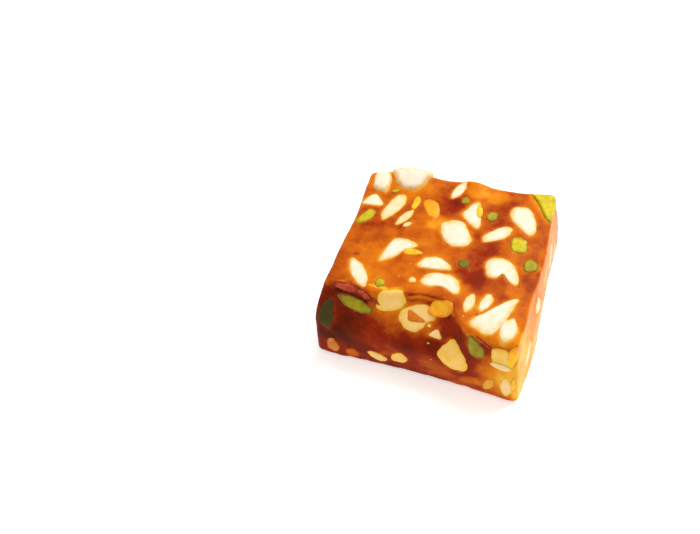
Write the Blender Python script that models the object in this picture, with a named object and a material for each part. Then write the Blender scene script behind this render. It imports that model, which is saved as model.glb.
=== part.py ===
"""One cut block of dry fruit halwa: a set starch jelly with pieces of nut cut flush in its faces.

Sizes below are in millimetres; every mesh is turned into metres as it is made.
The block rests on z = 0, +X runs along its front edge to the right and -Y is its front.
"""
from dataclasses import dataclass

import bpy
import numpy as np

METRES = 0.001

# the block before it slumps: a box with rounded edges
HALF_WIDTH = 25.2
HALF_DEPTH = 24.3
HEIGHT = 21.2
EDGE_RADIUS = 1.3
LONG_STEPS = 14
TALL_STEPS = 6

# how far the set block is from a true box
FLARE = 1.7
SKEW = 0.064
RIGHT_BULGE = 1.5
RIGHT_FOOT = 1.6
RIGHT_FRONT_CORNER = 1.3
LEFT_FRONT_CORNER = 0.7
LEFT_HOLLOW = 0.7
CREST_SETBACK_RIGHT = 1.2
CREST_SETBACK_LEFT = 4.4
CREST_SETBACK_MIDDLE = 3.9
FRONT_FOOT_HOLLOW = 0.9
FRONT_FOOT_TOE = 0.5
BACK_PUSH_LEFT = 1.3
BACK_PUSH_MIDDLE = 0.9
BACK_RISE_LEFT = 1.4
BACK_RISE_MIDDLE = 1.2
BACK_DIP = 0.4
BACK_RISE_CORNER = 0.4

# nuts and the sockets they sit in
SOCKET_GAP = 0.37
EDGE_SOCKET_GAP = 0.5
SOCKET_OPENING = 0.07
SOCKET_EASE = 0.03
SOCKET_REACH = 0.7
EDGE_SOCKET_REACH = 1.8
CROWN = 0.18
UNDERSIDE_INSET = 0.03
CAP_RING = 0.6
UPPER_RING = 0.95
UPPER_DEPTH = 0.4
LOWER_RING = 0.68
LOWER_DEPTH = 0.82
WOBBLE = 0.07
PHASE_STEP = 1.7
SOFTENING = 0.2
SOFTENING_ROUNDS = 2
SHARPEST = 0.5

# rounds of correction when a point is traced back to the true box, and out to its surface
UNSLUMP_ROUNDS = 12
SURFACE_ROUNDS = 14

BOX_MIN = np.array([-HALF_WIDTH, -HALF_DEPTH, 0.0])
BOX_MAX = np.array([HALF_WIDTH, HALF_DEPTH, HEIGHT])

# for each face: the axis it looks along, which end, and the two axes that lie in it
FACES = {
    "top": (2, 1, 0, 1),
    "bottom": (2, 0, 0, 1),
    "front": (1, 0, 0, 2),
    "back": (1, 1, 0, 2),
    "left": (0, 0, 1, 2),
    "right": (0, 1, 1, 2),
}

# outlines of cut nuts, drawn by eye, as parts of half their length and half their width
CUTS = {
    "wedge": ((-1, -0.8), (0.9, -1), (1, -0.4), (0.2, 1), (-0.2, 0.9), (-1, -0.3)),
    "fin": ((-1, -0.9), (1, -1), (0.9, -0.5), (0, 0.3), (-0.7, 1), (-1, 0.7)),
    "slab": ((-1, -0.7), (-0.3, -1), (0.6, -0.8), (1, 0.3), (0.8, 1), (0.1, 0.9), (-0.8, 0.3)),
    "leaf": ((-1, -0.3), (-0.4, -1), (0.4, -0.9), (1, -0.1), (1, 0.3), (0.4, 1), (-0.4, 0.9), (-1, 0.2)),
    "half": ((-1, -0.9), (0, -1), (1, -0.8), (0.7, 0.3), (0.1, 1), (-0.5, 0.7)),
    "bean": ((-1, 0.3), (-0.9, -0.5), (-0.5, -1), (-0.2, -0.9), (0.1, -0.2), (0.5, -0.4), (1, -0.8),
         (1, -0.2), (0.4, 0.7), (-0.4, 1)),
    "arch": ((-1, -0.7), (-0.5, -0.9), (0, -0.4), (0.4, -0.6), (0.9, -1), (1, -0.1), (0.7, 0.7),
         (0.1, 1), (-0.5, 0.8), (-1, 0.2)),
    "sail": ((-1, -0.9), (-0.4, -1), (0, -1), (0.3, -0.7), (0.7, -0.9), (1, -0.9), (1, -0.6), (0.7, 0.4),
         (0.4, 1), (0.2, 1), (-0.1, 0.7), (-0.6, -0.1)),
    "egg": ((-1, -0.5), (-0.8, -0.9), (-0.3, -1), (0.4, -0.7), (1, -0.2), (1, 0.2), (0.5, 0.7), (0, 1),
         (-0.5, 0.7), (-1, 0.1)),
    "panel": ((-1, -1), (-0.9, -1), (0, -0.2), (1, 0.5), (1, 1), (-1, 1)),
    "block": ((-1, -0.6), (-0.5, -1), (0.6, -0.9), (1, -0.3), (0.9, 0.8), (0.3, 1), (-0.7, 0.8)),
    "drop": ((-1, -0.4), (-0.6, -1), (0.2, -0.8), (1, -0.3), (1, 0.3), (0.2, 0.9), (-0.6, 1), (-1, 0.4)),
    "hook": ((-1, 0), (-0.9, -0.4), (-0.5, -0.8), (0, -1), (0.4, -0.5), (0.5, -0.2), (1, 0.1),
         (0.9, 0.7), (0.3, 1), (-0.7, 0.6)),
}

# base colour and roughness of each stuff
JELLY = ("halwa_jelly", (0.52, 0.13, 0.02), 0.2)
STUFFS = {
    "cashew": ("cashew_flesh", (0.93, 0.82, 0.55), 0.45),
    "pistachio": ("pistachio_flesh", (0.55, 0.55, 0.05), 0.45),
    "skin": ("pistachio_skin", (0.33, 0.05, 0.02), 0.4),
}


@dataclass
class Nut:
    """One piece of nut: where its middle shows on a face of the box, and the shape of its cut face."""

    name: str
    stuff: str
    face: str
    across: float
    along: float
    length: float
    width: float
    angle: float = 0.0
    depth: float = 2.6
    taper: float = 0.0
    bend: float = 0.0
    notch: float = 0.0
    lean: tuple = (0.0, 0.0, 0.0)
    crown: float = CROWN
    cut: str = "oval"
    sides: int = 12


NUTS = (
    # top, back row to front row
    Nut("cashew_top_back_corner", "cashew", "top", -21.3, 19.5, 7.2, 4.8, 84, 3.6, cut="block",
        crown=1.2, sides=14),
    Nut("cashew_top_back_edge", "cashew", "top", -13.3, 20.5, 11.0, 6.0, 182, 3.8, cut="half",
        crown=3.2, sides=16),
    Nut("cashew_top_left_wedge", "cashew", "top", -21.8, 13.2, 5.8, 4.5, 4, 2.6, cut="wedge"),
    Nut("pistachio_top_left", "pistachio", "top", -22.0, 6.8, 6.6, 3.1, 60, 2.2),
    Nut("cashew_top_left_long", "cashew", "top", -15.7, 11.6, 11.0, 4.4, 58, 3.4, cut="slab", sides=14),
    Nut("cashew_top_left_narrow", "cashew", "top", -11.5, 8.7, 7.0, 2.4, 60, 2.8, cut="leaf"),
    Nut("cashew_top_back_middle", "cashew", "top", 0.1, 20.7, 7.0, 2.8, 62, 2.6, cut="leaf"),
    Nut("pistachio_top_back_small", "pistachio", "top", 2.7, 17.6, 2.4, 2.3, 60, 1.6, sides=10),
    Nut("cashew_top_leaning", "cashew", "top", 5.6, 13.2, 9.6, 5.3, 104, 3.2, cut="wedge", sides=14),
    Nut("pistachio_top_middle", "pistachio", "top", 10.8, 13.9, 3.4, 3.0, 80, 2.0, sides=10),
    Nut("cashew_top_large", "cashew", "top", 3.0, 6.1, 10.2, 7.4, 118, 4.2, cut="block", sides=14),
    Nut("cashew_top_slanted", "cashew", "top", 13.2, 8.3, 9.2, 4.2, 29, 3.0, cut="slab", sides=14),
    Nut("cashew_top_right_large", "cashew", "top", 19.0, 14.2, 10.6, 6.3, -57, 3.8, cut="drop", sides=14),
    Nut("pistachio_corner", "pistachio", "top", 22.8, 19.8, 9.6, 7.6, -86, 3.2, cut="panel",
        lean=(0.7, 0.4, 0.0), crown=0.5, sides=14),
    Nut("pistachio_top_right", "pistachio", "top", 19.0, 6.0, 5.8, 4.7, 95, 2.4, cut="block"),
    Nut("pistachio_top_right_edge", "pistachio", "top", 22.8, 0.4, 4.4, 3.9, 90, 2.4),
    Nut("cashew_top_kidney", "cashew", "top", 17.3, -2.5, 10.4, 7.4, -10, 3.6, cut="bean", sides=18),
    Nut("pistachio_top_dark", "pistachio", "top", 7.5, -3.4, 3.1, 2.7, 0, 1.6, sides=10),
    Nut("cashew_top_half", "cashew", "top", 0.2, -5.6, 10.2, 4.4, 4, 3.0, cut="half", sides=16),
    Nut("cashew_top_arch", "cashew", "top", 3.7, -14.3, 10.4, 6.0, -4, 3.0, cut="arch", sides=18),
    Nut("cashew_top_sliver", "cashew", "top", -11.2, -2.5, 12.2, 5.4, 42, 2.4, cut="sail", sides=18),
    Nut("cashew_top_rhombus", "cashew", "top", -17.8, -16.0, 10.4, 4.0, 126, 2.6, cut="leaf", sides=14),
    Nut("pistachio_top_front", "pistachio", "top", -11.4, -18.9, 3.0, 2.6, 90, 1.6, sides=10),
    Nut("cashew_top_upright", "cashew", "top", 11.8, -16.0, 6.2, 2.8, 112, 2.2, cut="leaf"),
    Nut("cashew_top_near_wedge", "cashew", "top", 15.5, -13.8, 6.2, 3.1, 64, 2.4, cut="slab"),
    Nut("cashew_top_near_large", "cashew", "top", 18.0, -16.4, 12.4, 7.2, 78, 3.6, cut="fin", sides=16),
    Nut("cashew_top_near_corner", "cashew", "top", 22.8, -20.2, 6.6, 2.6, 86, 2.4, cut="leaf", sides=14),
    # front, left to right
    Nut("pistachio_front_corner", "pistachio", "front", -22.6, 14.2, 8.2, 3.8, 88, 2.4,
        lean=(-0.5, 0.0, 0.0)),
    Nut("pistachio_front_left", "pistachio", "front", -16.1, 17.6, 10.6, 3.5, -14, 2.6, cut="leaf",
        sides=14),
    Nut("skin_front_left", "skin", "front", -19.2, 21.0, 6.4, 1.5, -10, 1.2, cut="leaf",
        lean=(0.0, 0.0, 0.8), sides=14),
    Nut("cashew_front_left", "cashew", "front", -7.5, 19.5, 7.6, 5.2, 4, 3.2, cut="block",
        lean=(-0.15, 0.25, 0.5), sides=14),
    Nut("cashew_front_hook", "cashew", "front", 0.1, 16.3, 10.0, 8.0, 0, 3.2, cut="hook", sides=18),
    Nut("cashew_front_chip", "cashew", "front", 5.0, 15.1, 3.4, 2.4, 0, 1.8, cut="wedge", sides=10),
    Nut("cashew_front_large", "cashew", "front", 9.8, 12.0, 9.0, 8.4, 96, 4.0, cut="egg", sides=16),
    Nut("pistachio_front_right", "pistachio", "front", 15.4, 17.5, 7.0, 4.4, 118, 2.2, cut="drop"),
    Nut("cashew_front_right", "cashew", "front", 21.6, 15.6, 6.2, 5.2, 96, 2.8, cut="block"),
    Nut("cashew_front_low_corner", "cashew", "front", 22.7, 6.3, 7.8, 3.0, 88, 2.4, cut="leaf"),
    Nut("cashew_front_low_right", "cashew", "front", 18.6, 5.4, 5.6, 2.4, 64, 1.8, cut="leaf", sides=10),
    Nut("cashew_front_foot_left", "cashew", "front", -20.8, 4.5, 5.2, 3.3, 98, 2.0, sides=10),
    Nut("cashew_front_foot_middle", "cashew", "front", -9.3, 4.2, 5.6, 3.4, -38, 2.4, cut="slab"),
    Nut("cashew_front_foot_right", "cashew", "front", -3.6, 5.9, 4.8, 3.9, 38, 2.2),
    # right side
    Nut("cashew_right_near", "cashew", "right", -15.5, 8.5, 7.4, 4.0, 24, depth=2.8, taper=0.15),
    Nut("cashew_right_middle", "cashew", "right", -4.5, 12.6, 6.2, 4.6, -50, depth=3.0),
    Nut("pistachio_right", "pistachio", "right", 3.8, 6.6, 4.6, 3.0, 35, depth=2.2, sides=10),
    Nut("cashew_right_far", "cashew", "right", 12.0, 10.8, 8.4, 4.2, 70, depth=3.0, bend=0.5, sides=16),
    # back
    Nut("cashew_back_left", "cashew", "back", -17.0, 8.4, 7.2, 4.4, 28, depth=3.0),
    Nut("pistachio_back", "pistachio", "back", -7.4, 9.8, 5.0, 3.4, -40, depth=2.4, sides=10),
    Nut("cashew_back_middle", "cashew", "back", 1.8, 7.6, 8.6, 4.2, -12, depth=3.2, bend=0.5, sides=16),
    Nut("cashew_back_right", "cashew", "back", 13.4, 11.4, 6.8, 5.0, 62, depth=3.4, taper=0.2),
    # left side
    Nut("cashew_left_far", "cashew", "left", 14.2, 8.0, 7.6, 4.2, -30, depth=3.0),
    Nut("pistachio_left", "pistachio", "left", 5.0, 12.8, 5.6, 3.2, 20, depth=2.4),
    Nut("cashew_left_middle", "cashew", "left", -4.4, 6.6, 6.4, 4.8, 75, depth=3.2, notch=0.12),
    Nut("cashew_left_near", "cashew", "left", -14.6, 10.6, 5.8, 3.6, -15, depth=2.6, taper=0.2),
    # underside
    Nut("cashew_under_left", "cashew", "bottom", -12.0, 8.0, 9.0, 4.6, 35, depth=3.4, bend=0.5, sides=16),
    Nut("cashew_under_right", "cashew", "bottom", 11.5, -6.5, 7.6, 5.6, -60, depth=3.6),
    Nut("pistachio_under", "pistachio", "bottom", 4.0, 12.5, 5.4, 3.6, 15, depth=2.6, sides=10),
)


def remove_everything():
    """Start from an empty file."""
    for thing in list(bpy.data.objects):
        bpy.data.objects.remove(thing)


def ramp(low, high, value):
    """Ease from 0 at low to 1 at high."""
    part = np.clip((value - low) / (high - low), 0.0, 1.0)
    return part * part * (3.0 - 2.0 * part)


def hump(middle, reach, value):
    """A smooth hill of height 1 at middle."""
    return np.exp(-((value - middle) / reach) ** 2)


def slump(points):
    """Move points of the true box to where the set, cut and handled block has them."""
    x, y, z = points[..., 0], points[..., 1], points[..., 2]
    up = z / HEIGHT
    aside = x / HALF_WIDTH
    inward = y / HALF_DEPTH
    right = np.clip(aside, 0.0, 1.0) ** 3
    left = np.clip(-aside, 0.0, 1.0) ** 3
    front = np.clip(-inward, 0.0, 1.0)
    back = np.clip(inward, 0.0, 1.0)
    flare = FLARE * (1.0 - up ** 2)

    shift_x = aside * flare
    shift_x = shift_x + right * (RIGHT_BULGE * up + 0.2) * hump(3, 13, y)
    shift_x = shift_x + right * RIGHT_FRONT_CORNER * up ** 2 * hump(-19, 9, y)
    shift_x = shift_x + right * RIGHT_FOOT * (1.0 - up) * hump(-12, 12, y)
    shift_x = shift_x - left * LEFT_FRONT_CORNER * hump(-24, 6, y) * hump(14.5, 5, z)
    shift_x = shift_x + left * LEFT_HOLLOW * hump(8, 10, y) * up

    # the front edge of the top is worn back, most at its middle and least at the right
    worn = CREST_SETBACK_LEFT + CREST_SETBACK_MIDDLE * ramp(-15, 3, x)
    worn = CREST_SETBACK_RIGHT + worn * (1.0 - ramp(5, 15, x))
    shift_y = worn * ramp(0.45, 1.0, up) ** 1.3 * front ** 1.5
    foot = FRONT_FOOT_HOLLOW * hump(5, 17, x) - FRONT_FOOT_TOE * hump(-20, 4, x)
    shift_y = shift_y + foot * front ** 2 * (1.0 - up) ** 2
    push = BACK_PUSH_LEFT * hump(-15, 8, x) + BACK_PUSH_MIDDLE * hump(1.5, 6, x)
    shift_y = shift_y + push * back ** 2 * up ** 2
    flared = inward * flare
    shift_y = shift_y + flared + (y + flared) * SKEW * aside

    rise = BACK_RISE_LEFT * hump(-13, 7, x) + BACK_RISE_MIDDLE * hump(4, 3, x)
    rise = rise - BACK_DIP * hump(14, 5, x) + BACK_RISE_CORNER * hump(25, 4, x)
    shift_z = rise * up ** 3 * back ** 8
    return points + np.stack([shift_x, shift_y, shift_z], axis=-1)


def unslump(points):
    """Find the points of the true box that slump to these."""
    guess = points.copy()
    for _ in range(UNSLUMP_ROUNDS):
        guess = guess + (points - slump(guess))
    return guess


def box_distance(points):
    """Distance outside the true box with rounded edges, negative inside."""
    centre = (BOX_MIN + BOX_MAX) / 2.0
    half = (BOX_MAX - BOX_MIN) / 2.0 - EDGE_RADIUS
    beyond = np.abs(points - centre) - half
    outside = np.linalg.norm(np.maximum(beyond, 0.0), axis=-1)
    inside = np.minimum(beyond.max(axis=-1), 0.0)
    return outside + inside - EDGE_RADIUS


def round_edges(points):
    """Pull points of a sharp box onto the box with rounded edges."""
    core = np.clip(points, BOX_MIN + EDGE_RADIUS, BOX_MAX - EDGE_RADIUS)
    away = points - core
    reach = np.linalg.norm(away, axis=-1, keepdims=True)
    return core + away / np.maximum(reach, 1e-9) * EDGE_RADIUS


def face_points(face, across, along):
    """Points of the true box on a face, from the two positions in that face."""
    axis, end, first, second = FACES[face]
    points = np.zeros(np.shape(across) + (3,))
    points[..., axis] = BOX_MAX[axis] if end else BOX_MIN[axis]
    points[..., first] = across
    points[..., second] = along
    return points


def edge_steps(axis, steps):
    """Positions of the grid lines along one axis, with one line in the rounding at each end."""
    low, high = BOX_MIN[axis], BOX_MAX[axis]
    turn = EDGE_RADIUS * (1.0 - np.tan(np.radians(22.5)))
    inner = np.linspace(low + EDGE_RADIUS, high - EDGE_RADIUS, steps + 1)
    return [low, low + turn, *inner, high - turn, high]


def new_material(stuff):
    """A plain Principled material."""
    name, colour, roughness = stuff
    material = bpy.data.materials.new(name)
    material.use_nodes = True
    shader = material.node_tree.nodes["Principled BSDF"]
    shader.inputs["Base Color"].default_value = (*colour, 1.0)
    shader.inputs["Roughness"].default_value = roughness
    material.diffuse_color = (*colour, 1.0)
    return material


def new_object(name, vertices, faces, material):
    """A mesh object in metres."""
    mesh = bpy.data.meshes.new(name)
    mesh.from_pydata((vertices * METRES).tolist(), [], faces)
    mesh.update()
    if material is not None:
        mesh.materials.append(material)
    thing = bpy.data.objects.new(name, mesh)
    bpy.context.scene.collection.objects.link(thing)
    return thing


def block_shell():
    """Vertices and faces of the whole block, before the sockets are cut."""
    steps = [edge_steps(0, LONG_STEPS), edge_steps(1, LONG_STEPS), edge_steps(2, TALL_STEPS)]
    index = {}
    corners = []
    faces = []

    def corner(position):
        key = tuple(round(value, 4) for value in position)
        if key not in index:
            index[key] = len(corners)
            corners.append(position)
        return index[key]

    for axis, end, first, second in FACES.values():
        level = BOX_MAX[axis] if end else BOX_MIN[axis]
        turned = (first, second) == (0, 2)
        for i in range(len(steps[first]) - 1):
            for j in range(len(steps[second]) - 1):
                quad = []
                for di, dj in ((0, 0), (1, 0), (1, 1), (0, 1)):
                    position = [0.0, 0.0, 0.0]
                    position[axis] = level
                    position[first] = steps[first][i + di]
                    position[second] = steps[second][j + dj]
                    quad.append(corner(position))
                faces.append(quad if bool(end) != turned else quad[::-1])
    return slump(round_edges(np.array(corners))), faces


def edge_normals(outline):
    """Outward direction of each edge of an outline, from each point to the next."""
    ahead = np.roll(outline, -1, axis=0) - outline
    outward = np.stack([ahead[:, 1], -ahead[:, 0]], axis=-1)
    return outward / np.linalg.norm(outward, axis=-1, keepdims=True)


def drawn_outline(nut):
    """Outline of a nut from the drawn shape of its cut, softened and then spaced evenly."""
    half = np.array([nut.length / 2.0, nut.width / 2.0])
    curve = np.array(CUTS[nut.cut]) * half
    for _ in range(SOFTENING_ROUNDS):
        ahead = np.roll(curve, -1, axis=0)
        near = (1.0 - SOFTENING) * curve + SOFTENING * ahead
        far = SOFTENING * curve + (1.0 - SOFTENING) * ahead
        curve = np.stack([near, far], axis=1).reshape(-1, 2)
    closed = np.concatenate([curve, curve[:1]])
    walked = np.concatenate([[0.0], np.cumsum(np.linalg.norm(np.diff(closed, axis=0), axis=1))])
    even = np.linspace(0.0, walked[-1], nut.sides, endpoint=False)
    return np.stack([np.interp(even, walked, closed[:, axis]) for axis in (0, 1)], axis=-1)


def lumpy_outline(nut, phase):
    """Outline of a nut as a lumpy oval, tapered, dented or bent."""
    turn = np.linspace(0.0, 2.0 * np.pi, nut.sides, endpoint=False) + 0.26
    cosine, sine = np.cos(turn), np.sin(turn)
    lump = 1.0 + WOBBLE * np.sin(3.0 * turn + phase) + 0.5 * WOBBLE * np.sin(5.0 * turn + 2.0 * phase)
    lengthwise = cosine * lump
    crosswise = sine * lump * (1.0 - nut.taper * lengthwise)
    dented = crosswise * (1.0 - nut.notch * np.exp(-(lengthwise / 0.3) ** 2))
    crosswise = np.where(crosswise < 0.0, dented, crosswise)
    crosswise = crosswise - nut.bend * (2.0 * lengthwise ** 2 - 1.0)
    return np.stack([lengthwise * nut.length / 2.0, crosswise * nut.width / 2.0], axis=-1)


def cut_outline(nut, phase, scale=1.0, extra=0.0):
    """Outline of a nut's cut face in its own plane, scaled and then grown outward by extra."""
    flat = (drawn_outline(nut) if nut.cut in CUTS else lumpy_outline(nut, phase)) * scale
    after = edge_normals(flat)
    before = np.roll(after, 1, axis=0)
    square = 1.0 + np.sum(before * after, axis=-1, keepdims=True)
    return flat + (before + after) / np.maximum(square, SHARPEST) * extra


def face_frame(nut):
    """Middle of the cut face on the block, and its two in-plane directions and outward direction."""
    step = 0.3
    middle = slump(face_points(nut.face, np.array(nut.across), np.array(nut.along)))
    ahead = slump(face_points(nut.face, np.array(nut.across + step), np.array(nut.along)))
    aside = slump(face_points(nut.face, np.array(nut.across), np.array(nut.along + step)))
    outward = np.cross(ahead - middle, aside - middle)
    axis, end, _, _ = FACES[nut.face]
    sign = 1.0 if end else -1.0
    outward = outward * np.sign(outward[axis]) * sign
    outward = outward / np.linalg.norm(outward) + np.array(nut.lean)
    outward = outward / np.linalg.norm(outward)
    lengthwise = ahead - middle
    lengthwise = lengthwise - outward * (lengthwise @ outward)
    lengthwise = lengthwise / np.linalg.norm(lengthwise)
    crosswise = aside - middle
    crosswise = crosswise - outward * (crosswise @ outward) - lengthwise * (crosswise @ lengthwise)
    crosswise = crosswise / np.linalg.norm(crosswise)
    angle = np.radians(nut.angle)
    turned_length = lengthwise * np.cos(angle) + crosswise * np.sin(angle)
    turned_cross = crosswise * np.cos(angle) - lengthwise * np.sin(angle)
    return middle, turned_length, turned_cross, outward


def onto_block(points, outward):
    """Move points along the outward direction until they lie on the block's surface."""
    height = np.zeros(len(points))
    for _ in range(SURFACE_ROUNDS):
        height = height - box_distance(unslump(points + height[:, None] * outward))
    return points + height[:, None] * outward


def rings_on_face(nut, levels):
    """Rings and end points of a nut, each a flat outline laid on the block and sunk by its depth."""
    middle, lengthwise, crosswise, outward = face_frame(nut)
    flat = np.concatenate([outline for outline, _ in levels])
    depth = np.concatenate([np.full(len(outline), sunk) for outline, sunk in levels])
    points = onto_block(middle + flat[:, :1] * lengthwise + flat[:, 1:] * crosswise, outward)
    points = points - depth[:, None] * outward
    starts = np.cumsum([len(outline) for outline, _ in levels])[:-1]
    return np.split(points, starts)


def closed_body(rings, top, bottom, mirrored):
    """Faces of a body made of rings from the top down, closed by a point at each end."""
    sides = len(rings[0])
    vertices = [top]
    for ring in rings:
        vertices.extend(ring)
    vertices.append(bottom)
    last = len(vertices) - 1
    faces = []
    for k in range(sides):
        ahead = (k + 1) % sides
        faces.append((0, 1 + k, 1 + ahead))
        for level in range(len(rings) - 1):
            upper = 1 + level * sides
            lower = upper + sides
            faces.append((upper + k, lower + k, lower + ahead, upper + ahead))
        foot = 1 + (len(rings) - 1) * sides
        faces.append((foot + k, last, foot + ahead))
    if mirrored:
        faces = [face[::-1] for face in faces]
    return vertices, faces


def is_mirrored(nut):
    """True where the in-plane directions and the outward one are left-handed."""
    _, lengthwise, crosswise, outward = face_frame(nut)
    return float(np.cross(lengthwise, crosswise) @ outward) < 0.0


def nut_body(nut, phase):
    """The nut itself: a slightly crowned cut face and a rounded body behind it."""
    middle = np.zeros((1, 2))
    under = nut.face == "bottom"
    crown = -UNDERSIDE_INSET if under else nut.crown
    rim = -UNDERSIDE_INSET if under else 0.0
    top, cap, edge, upper, lower, foot = rings_on_face(nut, (
        (middle, -crown),
        (cut_outline(nut, phase, CAP_RING), -crown),
        (cut_outline(nut, phase), -rim),
        (cut_outline(nut, phase, UPPER_RING), nut.depth * UPPER_DEPTH),
        (cut_outline(nut, phase, LOWER_RING), nut.depth * LOWER_DEPTH),
        (middle, nut.depth),
    ))
    return closed_body((cap, edge, upper, lower), top[0], foot[0], is_mirrored(nut))


def socket_body(nut, phase):
    """The hollow for a nut: its body grown by the gap and carried out through the face."""
    gap = EDGE_SOCKET_GAP if any(nut.lean) else SOCKET_GAP
    reach = EDGE_SOCKET_REACH if any(nut.lean) else SOCKET_REACH
    middle = np.zeros((1, 2))
    top, mouth, upper, lower, foot = rings_on_face(nut, (
        (middle, -reach),
        (cut_outline(nut, phase, 1.0, gap + SOCKET_OPENING), -reach),
        (cut_outline(nut, phase, UPPER_RING, gap + SOCKET_EASE), nut.depth * UPPER_DEPTH + gap),
        (cut_outline(nut, phase, LOWER_RING, gap + SOCKET_EASE), nut.depth * LOWER_DEPTH + gap),
        (middle, nut.depth + gap),
    ))
    return closed_body((mouth, upper, lower), top[0], foot[0], is_mirrored(nut))


def cut_sockets(block, sockets):
    """Cut every socket out of the block with one Boolean."""
    cut = block.modifiers.new("sockets", "BOOLEAN")
    cut.operation = "DIFFERENCE"
    cut.solver = "EXACT"
    cut.object = sockets
    sockets.hide_render = True
    sockets.display_type = "WIRE"


def main():
    """Make the block and its nuts, standing over the middle of the underside."""
    remove_everything()
    shell, shell_faces = block_shell()
    bodies = []
    hollows = []
    hollow_faces = []
    for number, nut in enumerate(NUTS):
        phase = PHASE_STEP * number
        bodies.append((nut, *nut_body(nut, phase)))
        vertices, faces = socket_body(nut, phase)
        start = len(hollows)
        hollows.extend(vertices)
        hollow_faces.extend(tuple(start + corner for corner in face) for face in faces)

    everything = np.concatenate([shell] + [np.array(vertices) for _, vertices, _ in bodies])
    low, high = everything.min(axis=0), everything.max(axis=0)
    origin = np.array([(low[0] + high[0]) / 2.0, (low[1] + high[1]) / 2.0, low[2]])

    block = new_object("halwa_block", shell - origin, shell_faces, new_material(JELLY))
    materials = {kind: new_material(stuff) for kind, stuff in STUFFS.items()}
    for nut, vertices, faces in bodies:
        new_object(nut.name, np.array(vertices) - origin, faces, materials[nut.stuff])
    cut_sockets(block, new_object("nut_sockets", np.array(hollows) - origin, hollow_faces, None))


main()
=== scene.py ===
"""Dry fruit halwa: one cut block of set starch jelly with nuts, dressed for its portrait.

Shapes are worked out in millimetres, in the block's own frame: +X runs along the front
edge to the right, -Y is the front and z = 0 is the underside. Meshes are made in metres.
"""
from __future__ import annotations

import logging
import math
from dataclasses import dataclass, field
from enum import Enum
from typing import Iterable, Sequence

import bpy
import numpy as np
from mathutils import Matrix, Vector, noise
from mathutils.bvhtree import BVHTree

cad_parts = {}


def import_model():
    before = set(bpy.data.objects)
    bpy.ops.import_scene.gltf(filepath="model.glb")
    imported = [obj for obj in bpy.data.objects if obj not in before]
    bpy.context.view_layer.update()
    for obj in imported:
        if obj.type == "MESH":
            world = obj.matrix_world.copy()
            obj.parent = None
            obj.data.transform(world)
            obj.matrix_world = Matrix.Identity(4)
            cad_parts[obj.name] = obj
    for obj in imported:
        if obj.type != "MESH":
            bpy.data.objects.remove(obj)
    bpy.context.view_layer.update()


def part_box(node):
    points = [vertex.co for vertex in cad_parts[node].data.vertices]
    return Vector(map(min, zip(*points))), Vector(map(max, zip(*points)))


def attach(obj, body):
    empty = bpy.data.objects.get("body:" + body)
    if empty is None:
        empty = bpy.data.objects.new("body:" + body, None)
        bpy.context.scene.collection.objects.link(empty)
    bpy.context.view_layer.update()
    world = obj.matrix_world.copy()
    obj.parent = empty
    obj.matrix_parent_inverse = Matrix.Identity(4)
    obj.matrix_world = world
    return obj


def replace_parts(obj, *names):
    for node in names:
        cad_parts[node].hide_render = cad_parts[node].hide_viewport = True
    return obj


METRES = 0.001
BODY = "root"
LOG = logging.getLogger("halwa")

Colour = tuple[float, float, float]
Rings = list[tuple[float, float]]
Socket = bpy.types.NodeSocket

FAR = 1e9
TINY = 1e-9


def srgb(red: int, green: int, blue: int) -> Colour:
    """Turn a colour as seen on a screen into the linear values a shader takes."""
    parts = (value / 255 for value in (red, green, blue))
    return tuple(((part + 0.055) / 1.055) ** 2.4 if part > 0.04045 else part / 12.92 for part in parts)


def ramp(low: float, high: float, value: np.ndarray) -> np.ndarray:
    """Ease from 0 at low to 1 at high."""
    part = np.clip((value - low) / (high - low), 0.0, 1.0)
    return part * part * (3.0 - 2.0 * part)


def hump(middle: float, reach: float, value: np.ndarray) -> np.ndarray:
    """Give a smooth hill of height 1 at middle."""
    return np.exp(-((value - middle) / reach) ** 2)


def ripple(points: np.ndarray, pitch: Sequence[float], seed: float) -> np.ndarray:
    """Smooth noise at points, about -1 to 1.

    Args:
        points: positions in millimetres, one row each.
        pitch: size of the lumps along x, y and z in millimetres.
        seed: moves the pattern.

    Returns:
        One value for each point.
    """
    scaled = points / np.array(pitch) + seed
    return np.array([noise.noise(Vector(row)) for row in scaled.tolist()])


def lumps(turn: np.ndarray, phase: float, waves: Sequence[tuple[int, float, int]]) -> np.ndarray:
    """Size of an uneven outline round it: each wave has its lobes, its height and its share of the phase."""
    return 1 + sum(height * np.sin(lobes * turn + share * phase) for lobes, height, share in waves)


def segment_distance(points: np.ndarray, start: np.ndarray, end: np.ndarray) -> np.ndarray:
    """Distance of each point from a straight piece of line.

    Args:
        points: positions, one row each.
        start: one end of the piece.
        end: its other end.

    Returns:
        One distance for each point.
    """
    along = end - start
    part = np.clip(((points - start) @ along) / (along @ along), 0, 1)
    return np.linalg.norm(points - start - part[:, None] * along, axis=1)


def signed_distance(points: np.ndarray, outline: np.ndarray) -> np.ndarray:
    """Distance from a closed outline in the plane, negative inside it.

    Args:
        points: positions in the plane.
        outline: its corners in order.

    Returns:
        One distance for each point.
    """
    best = np.full(len(points), FAR)
    inside = np.zeros(len(points), dtype=bool)
    for start, end in zip(outline, np.roll(outline, -1, axis=0)):
        best = np.minimum(best, segment_distance(points, start, end))
        crosses = (start[1] > points[:, 1]) != (end[1] > points[:, 1])
        rise = end[1] - start[1]
        slope = (end[0] - start[0]) / rise if abs(rise) > TINY else 0.0
        inside ^= crosses & (points[:, 0] < start[0] + slope * (points[:, 1] - start[1]))
    return np.where(inside, -best, best)


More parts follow.
